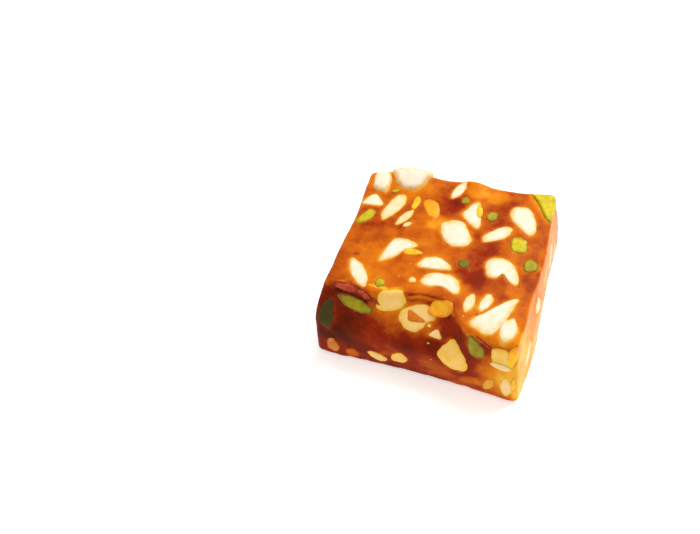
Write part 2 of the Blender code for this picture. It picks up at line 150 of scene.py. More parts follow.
def blur(values: np.ndarray, mesh: bpy.types.Mesh, rounds: int) -> np.ndarray:
    """Smooth per-vertex values over the mesh's edges.

    Args:
        values: one for each vertex.
        mesh: whose edges join the vertices.
        rounds: how many times each value moves half way to its neighbours' mean.

    Returns:
        The smoothed values.
    """
    pairs = np.zeros(len(mesh.edges) * 2, dtype=np.int32)
    mesh.edges.foreach_get("vertices", pairs)
    first, second = pairs[::2], pairs[1::2]
    size = len(values)
    count = np.maximum(np.bincount(pairs, minlength=size), 1)
    for _ in range(rounds):
        total = np.bincount(first, values[second], size) + np.bincount(second, values[first], size)
        values = 0.5 * values + 0.5 * total / count
    return values


def set_inputs(node: bpy.types.Node, **values: float | tuple) -> None:
    """Set a node's sockets by name, with underscores for spaces."""
    for name, value in values.items():
        node.inputs[name.replace("_", " ")].default_value = value


def stand(name: str, data: bpy.types.ID) -> bpy.types.Object:
    """Put a new object with this data into the scene.

    Args:
        name: the object's name.
        data: its mesh, light or camera.

    Returns:
        The new object.
    """
    thing = bpy.data.objects.new(name, data)
    bpy.context.scene.collection.objects.link(thing)
    return thing


@dataclass(frozen=True)
class Swell:
    """A smooth hill along one direction: its height, its middle and its reach."""

    height: float
    middle: float
    reach: float

    def at(self, value: np.ndarray) -> np.ndarray:
        """Height of the hill at each value."""
        return self.height * hump(self.middle, self.reach, value)


@dataclass(frozen=True)
class Unevenness:
    """Soft lumps in space: their height, their size along x, y and z, and which pattern they take."""

    height: float
    pitch: tuple[float, float, float]
    seed: float

    def at(self, points: np.ndarray) -> np.ndarray:
        """Height of the lumps at each point."""
        return self.height * ripple(points, self.pitch, self.seed)


class Face(Enum):
    """A face of the block: the axis it looks along, which end, and the two axes in it."""

    TOP = (2, 1, 0, 1)
    BOTTOM = (2, 0, 0, 1)
    FRONT = (1, 0, 0, 2)
    BACK = (1, 1, 0, 2)
    LEFT = (0, 0, 1, 2)
    RIGHT = (0, 1, 1, 2)


class Stuff(Enum):
    """What a piece in the jelly is."""

    CASHEW = "cashew"
    PISTACHIO = "pistachio"
    SKIN = "skin"


class Cut(Enum):
    """The drawn outline of a cut nut, as parts of half its length and half its width."""

    OVAL = ()
    WEDGE = ((-1, -0.8), (0.9, -1), (1, -0.4), (0.2, 1), (-0.2, 0.9), (-1, -0.3))
    FIN = ((-1, -0.9), (1, -1), (0.9, -0.5), (0, 0.3), (-0.7, 1), (-1, 0.7))
    SLAB = ((-1, -0.7), (-0.3, -1), (0.6, -0.8), (1, 0.3), (0.8, 1), (0.1, 0.9), (-0.8, 0.3))
    LEAF = ((-1, -0.3), (-0.4, -1), (0.4, -0.9), (1, -0.1), (1, 0.3), (0.4, 1), (-0.4, 0.9), (-1, 0.2))
    HALF = ((-1, -0.9), (0, -1), (1, -0.8), (0.7, 0.3), (0.1, 1), (-0.5, 0.7))
    BEAN = ((-1, 0.3), (-0.9, -0.4), (-0.5, -1), (-0.1, -0.9), (0, -0.3), (0.2, -0.4), (0.5, -0.8),
         (0.9, -1), (1, -0.6), (0.6, 0.4), (0.1, 0.9), (-0.5, 1))
    ARCH = ((-1, -0.7), (-0.5, -0.9), (0, -0.4), (0.4, -0.6), (0.9, -1), (1, -0.1), (0.7, 0.7),
         (0.1, 1), (-0.5, 0.8), (-1, 0.2))
    SAIL = ((-1, -0.9), (-0.4, -1), (0, -1), (0.3, -0.7), (0.7, -0.9), (1, -0.9), (1, -0.6), (0.7, 0.4),
         (0.4, 1), (0.2, 1), (-0.1, 0.7), (-0.6, -0.1))
    EGG = ((-1, -0.5), (-0.8, -0.9), (-0.3, -1), (0.4, -0.7), (1, -0.2), (1, 0.2), (0.5, 0.7), (0, 1),
         (-0.5, 0.7), (-1, 0.1))
    PANEL = ((-1, -1), (-0.9, -1), (0, -0.2), (1, 0.5), (1, 1), (-1, 1))
    BLOCK = ((-1, -0.6), (-0.5, -1), (0.6, -0.9), (1, -0.3), (0.9, 0.8), (0.3, 1), (-0.7, 0.8))
    DROP = ((-1, -0.4), (-0.6, -1), (0.2, -0.8), (1, -0.3), (1, 0.3), (0.2, 0.9), (-0.6, 1), (-1, 0.4))
    HOOK = ((-1, 0), (-0.9, -0.4), (-0.5, -0.8), (0, -1), (0.4, -0.5), (0.5, -0.2), (1, 0.1),
         (0.9, 0.7), (0.3, 1), (-0.7, 0.6))


@dataclass
class BlockShape:
    """The outer form of the set block: a rounded box, flared, skewed and worn at its front crest."""

    half_width: float = 25.2
    half_depth: float = 24.3
    height: float = 21.2
    edge_radius: float = 1.3
    flare: float = 1.7
    skew: float = 0.064
    # How the sides stand out or draw in: height, middle and reach along the edge.
    right_bulge: Swell = Swell(1.5, 3.0, 13.0)
    right_spread: Swell = Swell(0.2, 3.0, 13.0)
    right_front_corner: Swell = Swell(1.3, -19.0, 9.0)
    right_foot: Swell = Swell(1.6, -12.0, 12.0)
    left_front_corner: Swell = Swell(0.7, -24.0, 6.0)
    left_corner_height: Swell = Swell(1.0, 14.5, 5.0)
    left_hollow: Swell = Swell(0.7, 8.0, 10.0)
    # How far back the top front crest is worn, from the left over the middle to the right.
    crest_right: float = 1.2
    crest_left: float = 4.4
    crest_middle: float = 3.9
    crest_climb: tuple[float, float] = (-15.0, 3.0)
    crest_end: tuple[float, float] = (5.0, 15.0)
    worn_part: tuple[float, float] = (0.45, 1.0)
    # Hollows and hills of the front's foot and the back's top edge.
    front_foot_hollow: Swell = Swell(0.9, 5.0, 17.0)
    front_foot_toe: Swell = Swell(0.5, -20.0, 4.0)
    back_pushes: tuple[Swell, ...] = (Swell(1.3, -15.0, 8.0), Swell(0.9, 1.5, 6.0))
    back_rises: tuple[Swell, ...] = (
        Swell(1.4, -13.0, 7.0), Swell(1.2, 4.0, 3.0), Swell(-0.4, 14.0, 5.0), Swell(0.4, 25.0, 4.0))
    # Rounds of search for a point's place in the true box, and for the surface.
    trace_rounds: int = 12
    surface_rounds: int = 14

    def __post_init__(self) -> None:
        """Keep the box's corners as arrays."""
        self.low = np.array([-self.half_width, -self.half_depth, 0.0])
        self.high = np.array([self.half_width, self.half_depth, self.height])

    def slump(self, points: np.ndarray) -> np.ndarray:
        """Move points of the true box to where the set, cut and handled block has them.

        Args:
            points: positions in the true box, in millimetres.

        Returns:
            The same points on or in the real block.
        """
        x, y, z = points[..., 0], points[..., 1], points[..., 2]
        up, aside, inward = z / self.height, x / self.half_width, y / self.half_depth
        right, left = np.clip(aside, 0, 1) ** 3, np.clip(-aside, 0, 1) ** 3
        front, back = np.clip(-inward, 0, 1), np.clip(inward, 0, 1)
        flare = self.flare * (1 - up ** 2)
        spread = self.right_bulge.at(y) * up + self.right_spread.at(y)
        spread = spread + self.right_front_corner.at(y) * up ** 2 + self.right_foot.at(y) * (1 - up)
        tuck = self.left_hollow.at(y) * up - self.left_front_corner.at(y) * self.left_corner_height.at(z)
        shift_x = aside * flare + right * spread + left * tuck
        worn = self.crest_left + self.crest_middle * ramp(*self.crest_climb, x)
        worn = self.crest_right + worn * (1 - ramp(*self.crest_end, x))
        shift_y = worn * ramp(*self.worn_part, up) ** 1.3 * front ** 1.5
        foot = self.front_foot_hollow.at(x) - self.front_foot_toe.at(x)
        shift_y = shift_y + foot * front ** 2 * (1 - up) ** 2
        shift_y = shift_y + sum(push.at(x) for push in self.back_pushes) * back ** 2 * up ** 2
        flared = inward * flare
        shift_y = shift_y + flared + (y + flared) * self.skew * aside
        rise = sum(hill.at(x) for hill in self.back_rises) * up ** 3 * back ** 8
        return points + np.stack([shift_x, shift_y, rise], axis=-1)

    def unslump(self, points: np.ndarray) -> np.ndarray:
        """Find the points of the true box that slump to these.

        Args:
            points: positions on or near the real block, in millimetres.

        Returns:
            The same points in the true box.
        """
        guess = points.copy()
        for _ in range(self.trace_rounds):
            guess = guess + (points - self.slump(guess))
        return guess

    def distance(self, points: np.ndarray) -> np.ndarray:
        """Give the distance outside the real block, negative inside.

        Args:
            points: positions in millimetres.

        Returns:
            One distance for each point.
        """
        box = self.unslump(points)
        beyond = np.abs(box - (self.low + self.high) / 2) - (self.high - self.low) / 2 + self.edge_radius
        outside = np.linalg.norm(np.maximum(beyond, 0), axis=-1)
        return outside + np.minimum(beyond.max(axis=-1), 0) - self.edge_radius

    def onto(self, points: np.ndarray, outward: np.ndarray) -> np.ndarray:
        """Move points along the outward direction until they lie on the block's surface.

        Args:
            points: positions in millimetres.
            outward: the direction they move in.

        Returns:
            The points on the surface.
        """
        height = np.zeros(len(points))
        for _ in range(self.surface_rounds):
            height = height - self.distance(points + height[:, None] * outward)
        return points + height[:, None] * outward

    def place(self, face: Face, across: float, along: float) -> np.ndarray:
        """Give the point of the real block's surface at two positions in a face.

        Args:
            face: the face it lies in.
            across: its position along the face's first axis.
            along: its position along the second one.

        Returns:
            The point, in millimetres.
        """
        axis, end, first, second = face.value
        point = np.zeros(3)
        point[axis] = (self.low, self.high)[end][axis]
        point[first], point[second] = across, along
        return self.slump(point)

    def steps(self, axis: int, pitch: float, turns: int) -> np.ndarray:
        """Positions of grid lines along an axis, closer in the rounding at each end.

        Args:
            axis: 0, 1 or 2 for x, y or z.
            pitch: distance between lines on the flat.
            turns: lines in the rounding of an edge.

        Returns:
            The positions in order.
        """
        low, high = self.low[axis], self.high[axis]
        turn = self.edge_radius * (1 - np.tan(np.linspace(0, math.pi / 4, turns + 1)[::-1]))
        flat = high - low - 2 * self.edge_radius
        inner = np.linspace(low + self.edge_radius, high - self.edge_radius, round(flat / pitch) + 1)
        return np.concatenate([low + turn[:-1], inner, high - turn[:-1][::-1]])

    def shell(self, pitch: float, turns: int) -> tuple[np.ndarray, list[tuple[int, ...]]]:
        """Build the closed skin of the block.

        Args:
            pitch: distance between grid lines in millimetres.
            turns: grid lines in the rounding of an edge.

        Returns:
            Vertices in millimetres, and faces.
        """
        steps = [self.steps(axis, pitch, turns) for axis in range(3)]
        index: dict[tuple[int, ...], int] = {}
        corners: list[tuple[float, ...]] = []
        faces: list[tuple[int, ...]] = []
        last = [len(line) - 1 for line in steps]

        def corner(key: tuple[int, ...]) -> int:
            """Number a grid corner the first time it is met.

            Args:
                key: its line along x, y and z.

            Returns:
                The corner's number.
            """
            if key not in index:
                index[key] = len(corners)
                corners.append(tuple(steps[axis][key[axis]] for axis in range(3)))
            return index[key]

        for face in Face:
            axis, end, first, second = face.value
            turned = (first, second) == (0, 2)
            for i in range(last[first]):
                for j in range(last[second]):
                    quad = []
                    for di, dj in ((0, 0), (1, 0), (1, 1), (0, 1)):
                        key = [0, 0, 0]
                        key[axis] = last[axis] if end else 0
                        key[first], key[second] = i + di, j + dj
                        quad.append(corner(tuple(key)))
                    faces.append(tuple(quad if bool(end) != turned else quad[::-1]))
        points = np.array(corners)
        core = np.clip(points, self.low + self.edge_radius, self.high - self.edge_radius)
        away = points - core
        reach = np.maximum(np.linalg.norm(away, axis=-1, keepdims=True), TINY)
        return self.slump(core + away / reach * self.edge_radius), faces


@dataclass
class MeshParts:
    """Vertices, faces and per-vertex values gathered for one mesh."""

    vertices: list[np.ndarray] = field(default_factory=list)
    faces: list[tuple[int, ...]] = field(default_factory=list)
    values: dict[str, list[np.ndarray]] = field(default_factory=dict)
    count: int = 0

    def add(self, vertices: np.ndarray, faces: Iterable[tuple[int, ...]], **values: np.ndarray) -> None:
        """Add a closed body with its per-vertex values.

        Args:
            vertices: positions in millimetres.
            faces: corners of each face, counted from 0.
            values: a value for each vertex, or one for all, by name.
        """
        self.vertices.append(vertices)
        self.faces.extend(tuple(self.count + corner for corner in face) for face in faces)
        self.count += len(vertices)
        for name, value in values.items():
            self.values.setdefault(name, []).append(np.broadcast_to(value, len(vertices)))

    def make(self, name: str, shift: np.ndarray) -> bpy.types.Object:
        """Make the mesh object.

        Args:
            name: the object's name.
            shift: from the block's own frame to the part's frame, in millimetres.

        Returns:
            The new object, at the origin.
        """
        mesh = bpy.data.meshes.new(name)
        points = (np.concatenate(self.vertices) + shift) * METRES
        mesh.from_pydata(points.tolist(), [], self.faces)
        for key, parts in self.values.items():
            layer = mesh.attributes.new(key, "FLOAT", "POINT")
            layer.data.foreach_set("value", np.concatenate(parts).astype(np.float32))
        mesh.update()
        mesh.polygons.foreach_set("use_smooth", [True] * len(mesh.polygons))
        return stand(name, mesh)


# How far the corners of a drawn cut are softened, and where an outline starts.
CORNER_CUT = 0.2
CORNER_ROUNDS = 2
FIRST_TURN = 0.26
# Lumps of an outline: lobes round it, height, share of the phase.
OVAL_WAVES = ((3, 0.07, 1), (5, 0.035, 2), (9, 0.012, 3), (14, 0.008, 1))
DRAWN_WAVES = ((5, 0.022, 1), (9, 0.016, 2), (14, 0.01, 3))
NOTCH_REACH = 0.3
# How far from its middle a piece feels which way the face lies, in millimetres.
FRAME_STEP = 0.3
# Rings of a piece from the middle of its cut face: scale, then depth in millimetres at the rim
# and as a part of the whole depth in the body.
FACE_RINGS = (0.2, 0.4, 0.6, 0.78, 0.9)
RIM_RINGS = ((0.97, -0.02), (1.0, 0.08))
BODY_RINGS = ((1.0, 0.16), (0.985, 0.34), (0.93, 0.55), (0.8, 0.76), (0.56, 0.92), (0.28, 0.99))
# Nothing reaches under this height; the grain is the unevenness of cut flesh.
LOWEST = 0.03
GRAIN_HEIGHT = 0.05
GRAIN_PITCH = 0.9
# Phase of the lumps: step from one piece to the next, and where it starts.
CUT_PHASES = (1.7, 0.0)
LOOSE_PHASES = (2.3, 0.8)


@dataclass
class Nut:
    """A piece of nut cut flush in a face of the block, or sunk a little under it."""

    name: str
    stuff: Stuff
    face: Face
    across: float
    along: float
    length: float
    width: float
    angle: float = 0.0
    depth: float = 2.6
    cut: Cut = Cut.OVAL
    film: float = 0.0
    sunk: float = 0.0
    crown: float = 0.18
    lean: tuple[float, float, float] = (0.0, 0.0, 0.0)
    laid: bool = True
    taper: float = 0.0
    bend: float = 0.0
    notch: float = 0.0

    def drawn(self, sides: int) -> np.ndarray:
        """Outline from the drawn shape of the cut, softened and then spaced evenly.

        Args:
            sides: points round the outline.

        Returns:
            The outline in millimetres.
        """
        curve = np.array(self.cut.value) * (self.length / 2, self.width / 2)
        near, far = 1 - CORNER_CUT, CORNER_CUT
        for _ in range(CORNER_ROUNDS):
            ahead = np.roll(curve, -1, axis=0)
            curve = np.stack([near * curve + far * ahead, far * curve + near * ahead], axis=1).reshape(-1, 2)
        closed = np.concatenate([curve, curve[:1]])
        walked = np.concatenate([[0.0], np.cumsum(np.linalg.norm(np.diff(closed, axis=0), axis=1))])
        even = np.linspace(0.0, walked[-1], sides, endpoint=False)
        return np.stack([np.interp(even, walked, closed[:, axis]) for axis in (0, 1)], axis=-1)

    def outline(self, phase: float, sides: int) -> np.ndarray:
        """Outline of the cut face in its own plane, in millimetres.

        Args:
            phase: which lumps it has.
            sides: points round it.

        Returns:
            The points in order.
        """
        turn = np.linspace(0, 2 * math.pi, sides, endpoint=False) + FIRST_TURN
        if self.cut is not Cut.OVAL:
            return self.drawn(sides) * lumps(turn, phase, DRAWN_WAVES)[:, None]
        size = lumps(turn, phase, OVAL_WAVES)
        lengthwise = np.cos(turn) * size
        crosswise = np.sin(turn) * size * (1 - self.taper * lengthwise)
        dented = crosswise * (1 - self.notch * hump(0.0, NOTCH_REACH, lengthwise))
        crosswise = np.where(crosswise < 0, dented, crosswise)
        crosswise = crosswise - self.bend * (2 * lengthwise ** 2 - 1)
        return np.stack([lengthwise * self.length / 2, crosswise * self.width / 2], axis=-1)

    def frame(self, shape: BlockShape) -> tuple[np.ndarray, np.ndarray, np.ndarray, np.ndarray]:
        """Find where the cut face lies on the block and which way it is turned.

        Args:
            shape: the block it sits in.

        Returns:
            The face's middle, and its lengthwise, crosswise and outward directions.
        """
        middle = shape.place(self.face, self.across, self.along)
        ahead = shape.place(self.face, self.across + FRAME_STEP, self.along) - middle
        aside = shape.place(self.face, self.across, self.along + FRAME_STEP) - middle
        axis, end, _, _ = self.face.value
        outward = np.cross(ahead, aside)
        outward = outward * np.sign(outward[axis]) * (1 if end else -1)
        outward = outward / np.linalg.norm(outward) + np.array(self.lean)
        outward = outward / np.linalg.norm(outward)
        lengthwise = ahead - outward * (ahead @ outward)
        lengthwise = lengthwise / np.linalg.norm(lengthwise)
        crosswise = aside - outward * (aside @ outward) - lengthwise * (aside @ lengthwise)
        crosswise = crosswise / np.linalg.norm(crosswise)
        cosine, sine = math.cos(math.radians(self.angle)), math.sin(math.radians(self.angle))
        return (middle, lengthwise * cosine + crosswise * sine,
                crosswise * cosine - lengthwise * sine, outward)

    def rings(self) -> Rings:
        """Scale and depth of each ring from the middle of the cut face to the foot.

        Returns:
            The rings in order.
        """
        rings = [(scale, self.sunk - self.crown * (1 - scale ** 6)) for scale in FACE_RINGS]
        rings += [(scale, self.sunk + below) for scale, below in RIM_RINGS]
        return rings + [(scale, self.sunk + part * self.depth) for scale, part in BODY_RINGS]

    def body(self, shape: BlockShape, phase: float, sides: int) -> tuple[np.ndarray, list, np.ndarray]:
        """Build the closed piece.

        Args:
            shape: the block it sits in.
            phase: which lumps its outline has.
            sides: points round its outline.

        Returns:
            Vertices in millimetres, faces, and how near the rim each vertex is, 0 to 1.
        """
        middle, lengthwise, crosswise, outward = self.frame(shape)
        outline = self.outline(phase, sides)
        rings = self.rings()
        point = np.zeros((1, 2))
        flat = np.concatenate([point, *(outline * scale for scale, _ in rings), point])
        depth = np.concatenate([[self.sunk - self.crown], *(np.full(sides, below) for _, below in rings),
                                [self.sunk + self.depth]])
        points = middle + flat[:, :1] * lengthwise + flat[:, 1:] * crosswise
        if self.laid:
            points = shape.onto(points, outward)
        points = points - depth[:, None] * outward
        grain = Unevenness(GRAIN_HEIGHT, (GRAIN_PITCH,) * 3, phase)
        points = points + grain.at(points)[:, None] * outward
        if self.face is Face.BOTTOM:
            points[:, 2] = np.maximum(points[:, 2], LOWEST)
        nearness = [*FACE_RINGS, *(scale for scale, _ in RIM_RINGS), *(1.0 for _ in BODY_RINGS)]
        rim = np.concatenate([[0.0], np.repeat(nearness, sides), [1.0]])
        faces: list[tuple[int, ...]] = []
        last = len(points) - 1
        for k in range(sides):
            ahead = (k + 1) % sides
            faces.append((0, 1 + k, 1 + ahead))
            for level in range(len(rings) - 1):
                upper, lower = 1 + level * sides, 1 + (level + 1) * sides
                faces.append((upper + k, lower + k, lower + ahead, upper + ahead))
            foot = 1 + (len(rings) - 1) * sides
            faces.append((foot + k, last, foot + ahead))
        if float(np.cross(lengthwise, crosswise) @ outward) < 0:
            faces = [face[::-1] for face in faces]
        return points, faces, rim


C, P, S = Stuff.CASHEW, Stuff.PISTACHIO, Stuff.SKIN
TOP, FRONT, RIGHT, BACK, LEFT, UNDER = Face.TOP, Face.FRONT, Face.RIGHT, Face.BACK, Face.LEFT, Face.BOTTOM

# Columns: name, stuff, face, place across and along it, length, width, angle, depth, drawn cut.
CUT_NUTS = (
    Nut("cashew_top_back_corner", C, TOP, -21.1, 20.0, 8.0, 5.2, 84, 3.6, Cut.BLOCK, crown=1.3,
        laid=False),
    Nut("cashew_top_back_edge", C, TOP, -13.4, 21.4, 12.4, 7.9, 182, 3.8, Cut.HALF, crown=1.3,
        laid=False),
    Nut("cashew_top_left_wedge", C, TOP, -21.8, 13.2, 5.8, 4.5, 4, 2.6, Cut.WEDGE),
    Nut("pistachio_top_left", P, TOP, -22.0, 6.8, 6.6, 3.1, 60, 2.2, film=0.15),
    Nut("cashew_top_left_long", C, TOP, -15.7, 11.6, 11.0, 4.4, 58, 3.4, Cut.SLAB, film=0.4),
    Nut("cashew_top_left_narrow", C, TOP, -11.5, 8.7, 7.0, 2.4, 60, 2.8, Cut.LEAF, film=0.55),
    Nut("cashew_top_back_middle", C, TOP, 0.1, 20.7, 7.0, 2.8, 62, 2.6, Cut.LEAF, film=0.1),
    Nut("pistachio_top_back_small", P, TOP, 2.7, 17.6, 2.4, 2.3, 60, 1.6, film=0.5),
    Nut("cashew_top_leaning", C, TOP, 5.6, 13.2, 9.6, 5.3, 104, 3.2, Cut.WEDGE),
    Nut("pistachio_top_middle", P, TOP, 10.8, 13.9, 3.4, 3.0, 80, 2.0, film=0.45),
    Nut("cashew_top_large", C, TOP, 3.0, 6.1, 10.2, 7.4, 118, 4.2, Cut.BLOCK),
    Nut("cashew_top_slanted", C, TOP, 13.2, 8.3, 9.2, 4.2, 29, 3.0, Cut.SLAB, film=0.1),
    Nut("cashew_top_right_large", C, TOP, 19.0, 14.2, 10.6, 6.3, -57, 3.8, Cut.DROP),
    Nut("pistachio_corner", P, TOP, 22.8, 19.8, 9.6, 7.6, -86, 3.2, Cut.PANEL,
        lean=(0.7, 0.4, 0.0), crown=0.5),
    Nut("pistachio_top_right", P, TOP, 19.0, 6.0, 5.8, 4.7, 95, 2.4, Cut.BLOCK),
    Nut("pistachio_top_right_edge", P, TOP, 22.8, 0.4, 4.4, 3.9, 90, 2.4, film=0.45),
    Nut("cashew_top_kidney", C, TOP, 17.3, -2.5, 10.4, 7.4, -10, 3.6, Cut.BEAN),
    Nut("pistachio_top_dark", P, TOP, 7.5, -3.4, 3.1, 2.7, 0, 1.6, film=0.9),
    Nut("cashew_top_half", C, TOP, 0.2, -5.6, 10.2, 4.4, 4, 3.0, Cut.HALF),
    Nut("cashew_top_arch", C, TOP, 3.7, -14.3, 10.4, 6.0, -4, 3.0, Cut.ARCH),
    Nut("cashew_top_sliver", C, TOP, -11.2, -2.5, 12.2, 5.4, 42, 2.4, Cut.SAIL),
    Nut("cashew_top_rhombus", C, TOP, -17.8, -16.0, 10.4, 4.0, 126, 2.6, Cut.LEAF),
    Nut("pistachio_top_front", P, TOP, -11.4, -18.9, 3.0, 2.6, 90, 1.6, film=0.3),
    Nut("cashew_top_upright", C, TOP, 11.8, -16.0, 6.2, 2.8, 112, 2.2, Cut.LEAF, film=0.3),
    Nut("cashew_top_near_wedge", C, TOP, 15.5, -13.8, 6.2, 3.1, 64, 2.4, Cut.SLAB, film=0.1),
    Nut("cashew_top_near_large", C, TOP, 17.9, -16.1, 13.6, 8.1, 78, 3.6, Cut.FIN),
    Nut("cashew_top_near_corner", C, TOP, 22.2, -20.2, 7.5, 4.5, 84, 2.4, Cut.LEAF),
    # The film values of the front's pieces are partly jelly film and partly painted shade.
    Nut("pistachio_front_corner", P, FRONT, -22.6, 14.2, 8.2, 3.8, 88, 2.4, lean=(-0.5, 0.0, 0.0),
        film=1.35),
    Nut("pistachio_front_left", P, FRONT, -16.1, 17.6, 10.6, 3.5, -14, 2.6, Cut.LEAF, film=0.6),
    Nut("skin_front_left", S, FRONT, -19.2, 21.0, 6.4, 1.5, -10, 1.2, Cut.LEAF, lean=(0.0, 0.0, 0.8)),
    Nut("cashew_front_left", C, FRONT, -7.6, 19.4, 8.0, 5.5, 4, 3.2, Cut.BLOCK,
        lean=(-0.15, 0.25, 0.5), film=0.85),
    Nut("cashew_front_hook", C, FRONT, -0.3, 16.7, 10.0, 8.0, 0, 3.2, Cut.HOOK, film=0.8),
    Nut("cashew_front_chip", C, FRONT, 5.0, 15.1, 3.4, 2.4, 0, 1.8, Cut.WEDGE, film=0.6),
    Nut("cashew_front_large", C, FRONT, 9.8, 12.0, 9.0, 8.4, 96, 4.0, Cut.EGG, film=0.95),
    Nut("pistachio_front_right", P, FRONT, 15.4, 17.5, 7.0, 4.4, 118, 2.2, Cut.DROP, film=0.6),
    Nut("cashew_front_right", C, FRONT, 21.6, 16.2, 6.2, 5.2, 96, 2.8, Cut.BLOCK, film=0.95),
    Nut("cashew_front_low_corner", C, FRONT, 22.7, 6.3, 7.8, 3.2, 88, 2.4, Cut.LEAF, film=0.65),
    Nut("cashew_front_low_right", C, FRONT, 18.6, 5.4, 5.6, 2.4, 64, 1.8, Cut.LEAF, film=1.4),
    Nut("cashew_front_foot_left", C, FRONT, -20.8, 4.5, 5.2, 3.3, 98, 2.0, film=1.8),
    Nut("cashew_front_foot_middle", C, FRONT, -9.3, 4.2, 5.6, 3.4, -38, 2.4, Cut.SLAB, film=0.8),
    Nut("cashew_front_foot_right", C, FRONT, -3.6, 5.9, 4.8, 3.9, 38, 2.2, film=0.9),
    Nut("cashew_right_near", C, RIGHT, -15.5, 8.5, 7.4, 4.0, 24, 2.8, taper=0.15, film=0.3),
    Nut("cashew_right_middle", C, RIGHT, -4.5, 12.6, 6.2, 4.6, -50, 3.0, film=0.3),
    Nut("pistachio_right", P, RIGHT, 3.8, 6.6, 4.6, 3.0, 35, 2.2, film=0.3),
    Nut("cashew_right_far", C, RIGHT, 12.0, 10.8, 8.4, 4.2, 70, 3.0, bend=0.5, film=0.3),
    Nut("cashew_back_left", C, BACK, -17.0, 8.4, 7.2, 4.4, 28, 3.0, film=0.3),
    Nut("pistachio_back", P, BACK, -7.4, 9.8, 5.0, 3.4, -40, 2.4, film=0.3),
    Nut("cashew_back_middle", C, BACK, 1.8, 7.6, 8.6, 4.2, -12, 3.2, bend=0.5, film=0.3),
    Nut("cashew_back_right", C, BACK, 13.4, 11.4, 6.8, 5.0, 62, 3.4, taper=0.2, film=0.3),
    Nut("cashew_left_far", C, LEFT, 14.2, 8.0, 7.6, 4.2, -30, 3.0, film=0.3),
    Nut("pistachio_left", P, LEFT, 5.0, 12.8, 5.6, 3.2, 20, 2.4, film=0.3),
    Nut("cashew_left_middle", C, LEFT, -4.4, 6.6, 6.4, 4.8, 75, 3.2, notch=0.12, film=0.3),
    Nut("cashew_left_near", C, LEFT, -14.6, 10.6, 5.8, 3.6, -15, taper=0.2, film=0.3),
    Nut("cashew_under_left", C, UNDER, -12.0, 8.0, 9.0, 4.6, 35, 3.4, bend=0.5, film=0.3),
    Nut("cashew_under_right", C, UNDER, 11.5, -6.5, 7.6, 5.6, -60, 3.6, film=0.3),
    Nut("pistachio_under", P, UNDER, 4.0, 12.5, 5.4, 3.6, 15, film=0.3),
)

CHIPS = (
    Nut("chip", C, TOP, -10.2, 6.4, 2.6, 1.5, 40, 0.9, Cut.LEAF, film=0.5),
    Nut("chip", C, TOP, -3.7, -15.9, 1.9, 1.7, 0, 0.9, film=0.45),
    Nut("chip", C, FRONT, 3.0, 16.0, 1.0, 0.8, 0, 0.6, film=0.6),
    Nut("chip", C, FRONT, 21.6, 13.9, 5.8, 2.4, -16, 1.2, Cut.SLAB, film=0.62, sunk=-0.2),
    Nut("chip", P, TOP, -16.6, 17.2, 2.6, 1.4, 20, 0.9, Cut.LEAF, film=0.25),
    Nut("chip", S, TOP, -20.2, -8.0, 1.6, 0.6, 10, 0.5, Cut.LEAF),
    Nut("chip", S, FRONT, -19.4, 21.0, 7.6, 2.7, -8, 0.8, Cut.SLAB, lean=(0.0, 0.0, 0.8), sunk=-0.1),
    Nut("chip", S, FRONT, -14.4, 20.1, 5.8, 1.8, -26, 0.8, Cut.LEAF, lean=(0.0, 0.0, 0.6)),
    Nut("chip", S, FRONT, -11.2, 18.9, 3.4, 0.8, -34, 0.6, Cut.LEAF, lean=(0.0, 0.0, 0.4)),
    Nut("chip", S, FRONT, 17.6, 19.4, 5.0, 0.9, -34, 0.7, Cut.LEAF, lean=(0.0, 0.0, 0.4)),
)

AMBER_PIECES = (
    Nut("amber", C, FRONT, 5.0, 18.9, 6.4, 4.4, 8, 2.4, Cut.BLOCK, lean=(0.3, 0.2, 0.5), film=0.2),
    Nut("amber", C, FRONT, -0.5, 17.0, 5.0, 3.6, 6, 1.2, Cut.FIN, film=0.9, sunk=-0.1),
    Nut("amber", C, TOP, -10.0, 14.2, 5.4, 2.2, 76, 1.6, Cut.SLAB, film=0.0),
    Nut("amber", C, TOP, -5.4, 13.3, 7.8, 4.8, 102, 1.8, Cut.SLAB, film=0.4, sunk=0.15),
    Nut("amber", C, TOP, 7.2, 14.8, 4.8, 1.9, 102, 1.2, Cut.LEAF, film=0.0, sunk=-0.12),
    Nut("amber", C, TOP, -6.1, -2.7, 5.4, 2.6, 4, 1.6, Cut.DROP, film=0.1, sunk=0.05),
    Nut("amber", C, FRONT, 24.1, 17.0, 7.6, 3.0, 80, 1.0, Cut.LEAF, film=0.0),
    Nut("amber", C, FRONT, 24.4, 8.0, 6.0, 1.3, 90, 1.0, Cut.LEAF, film=0.1),
)

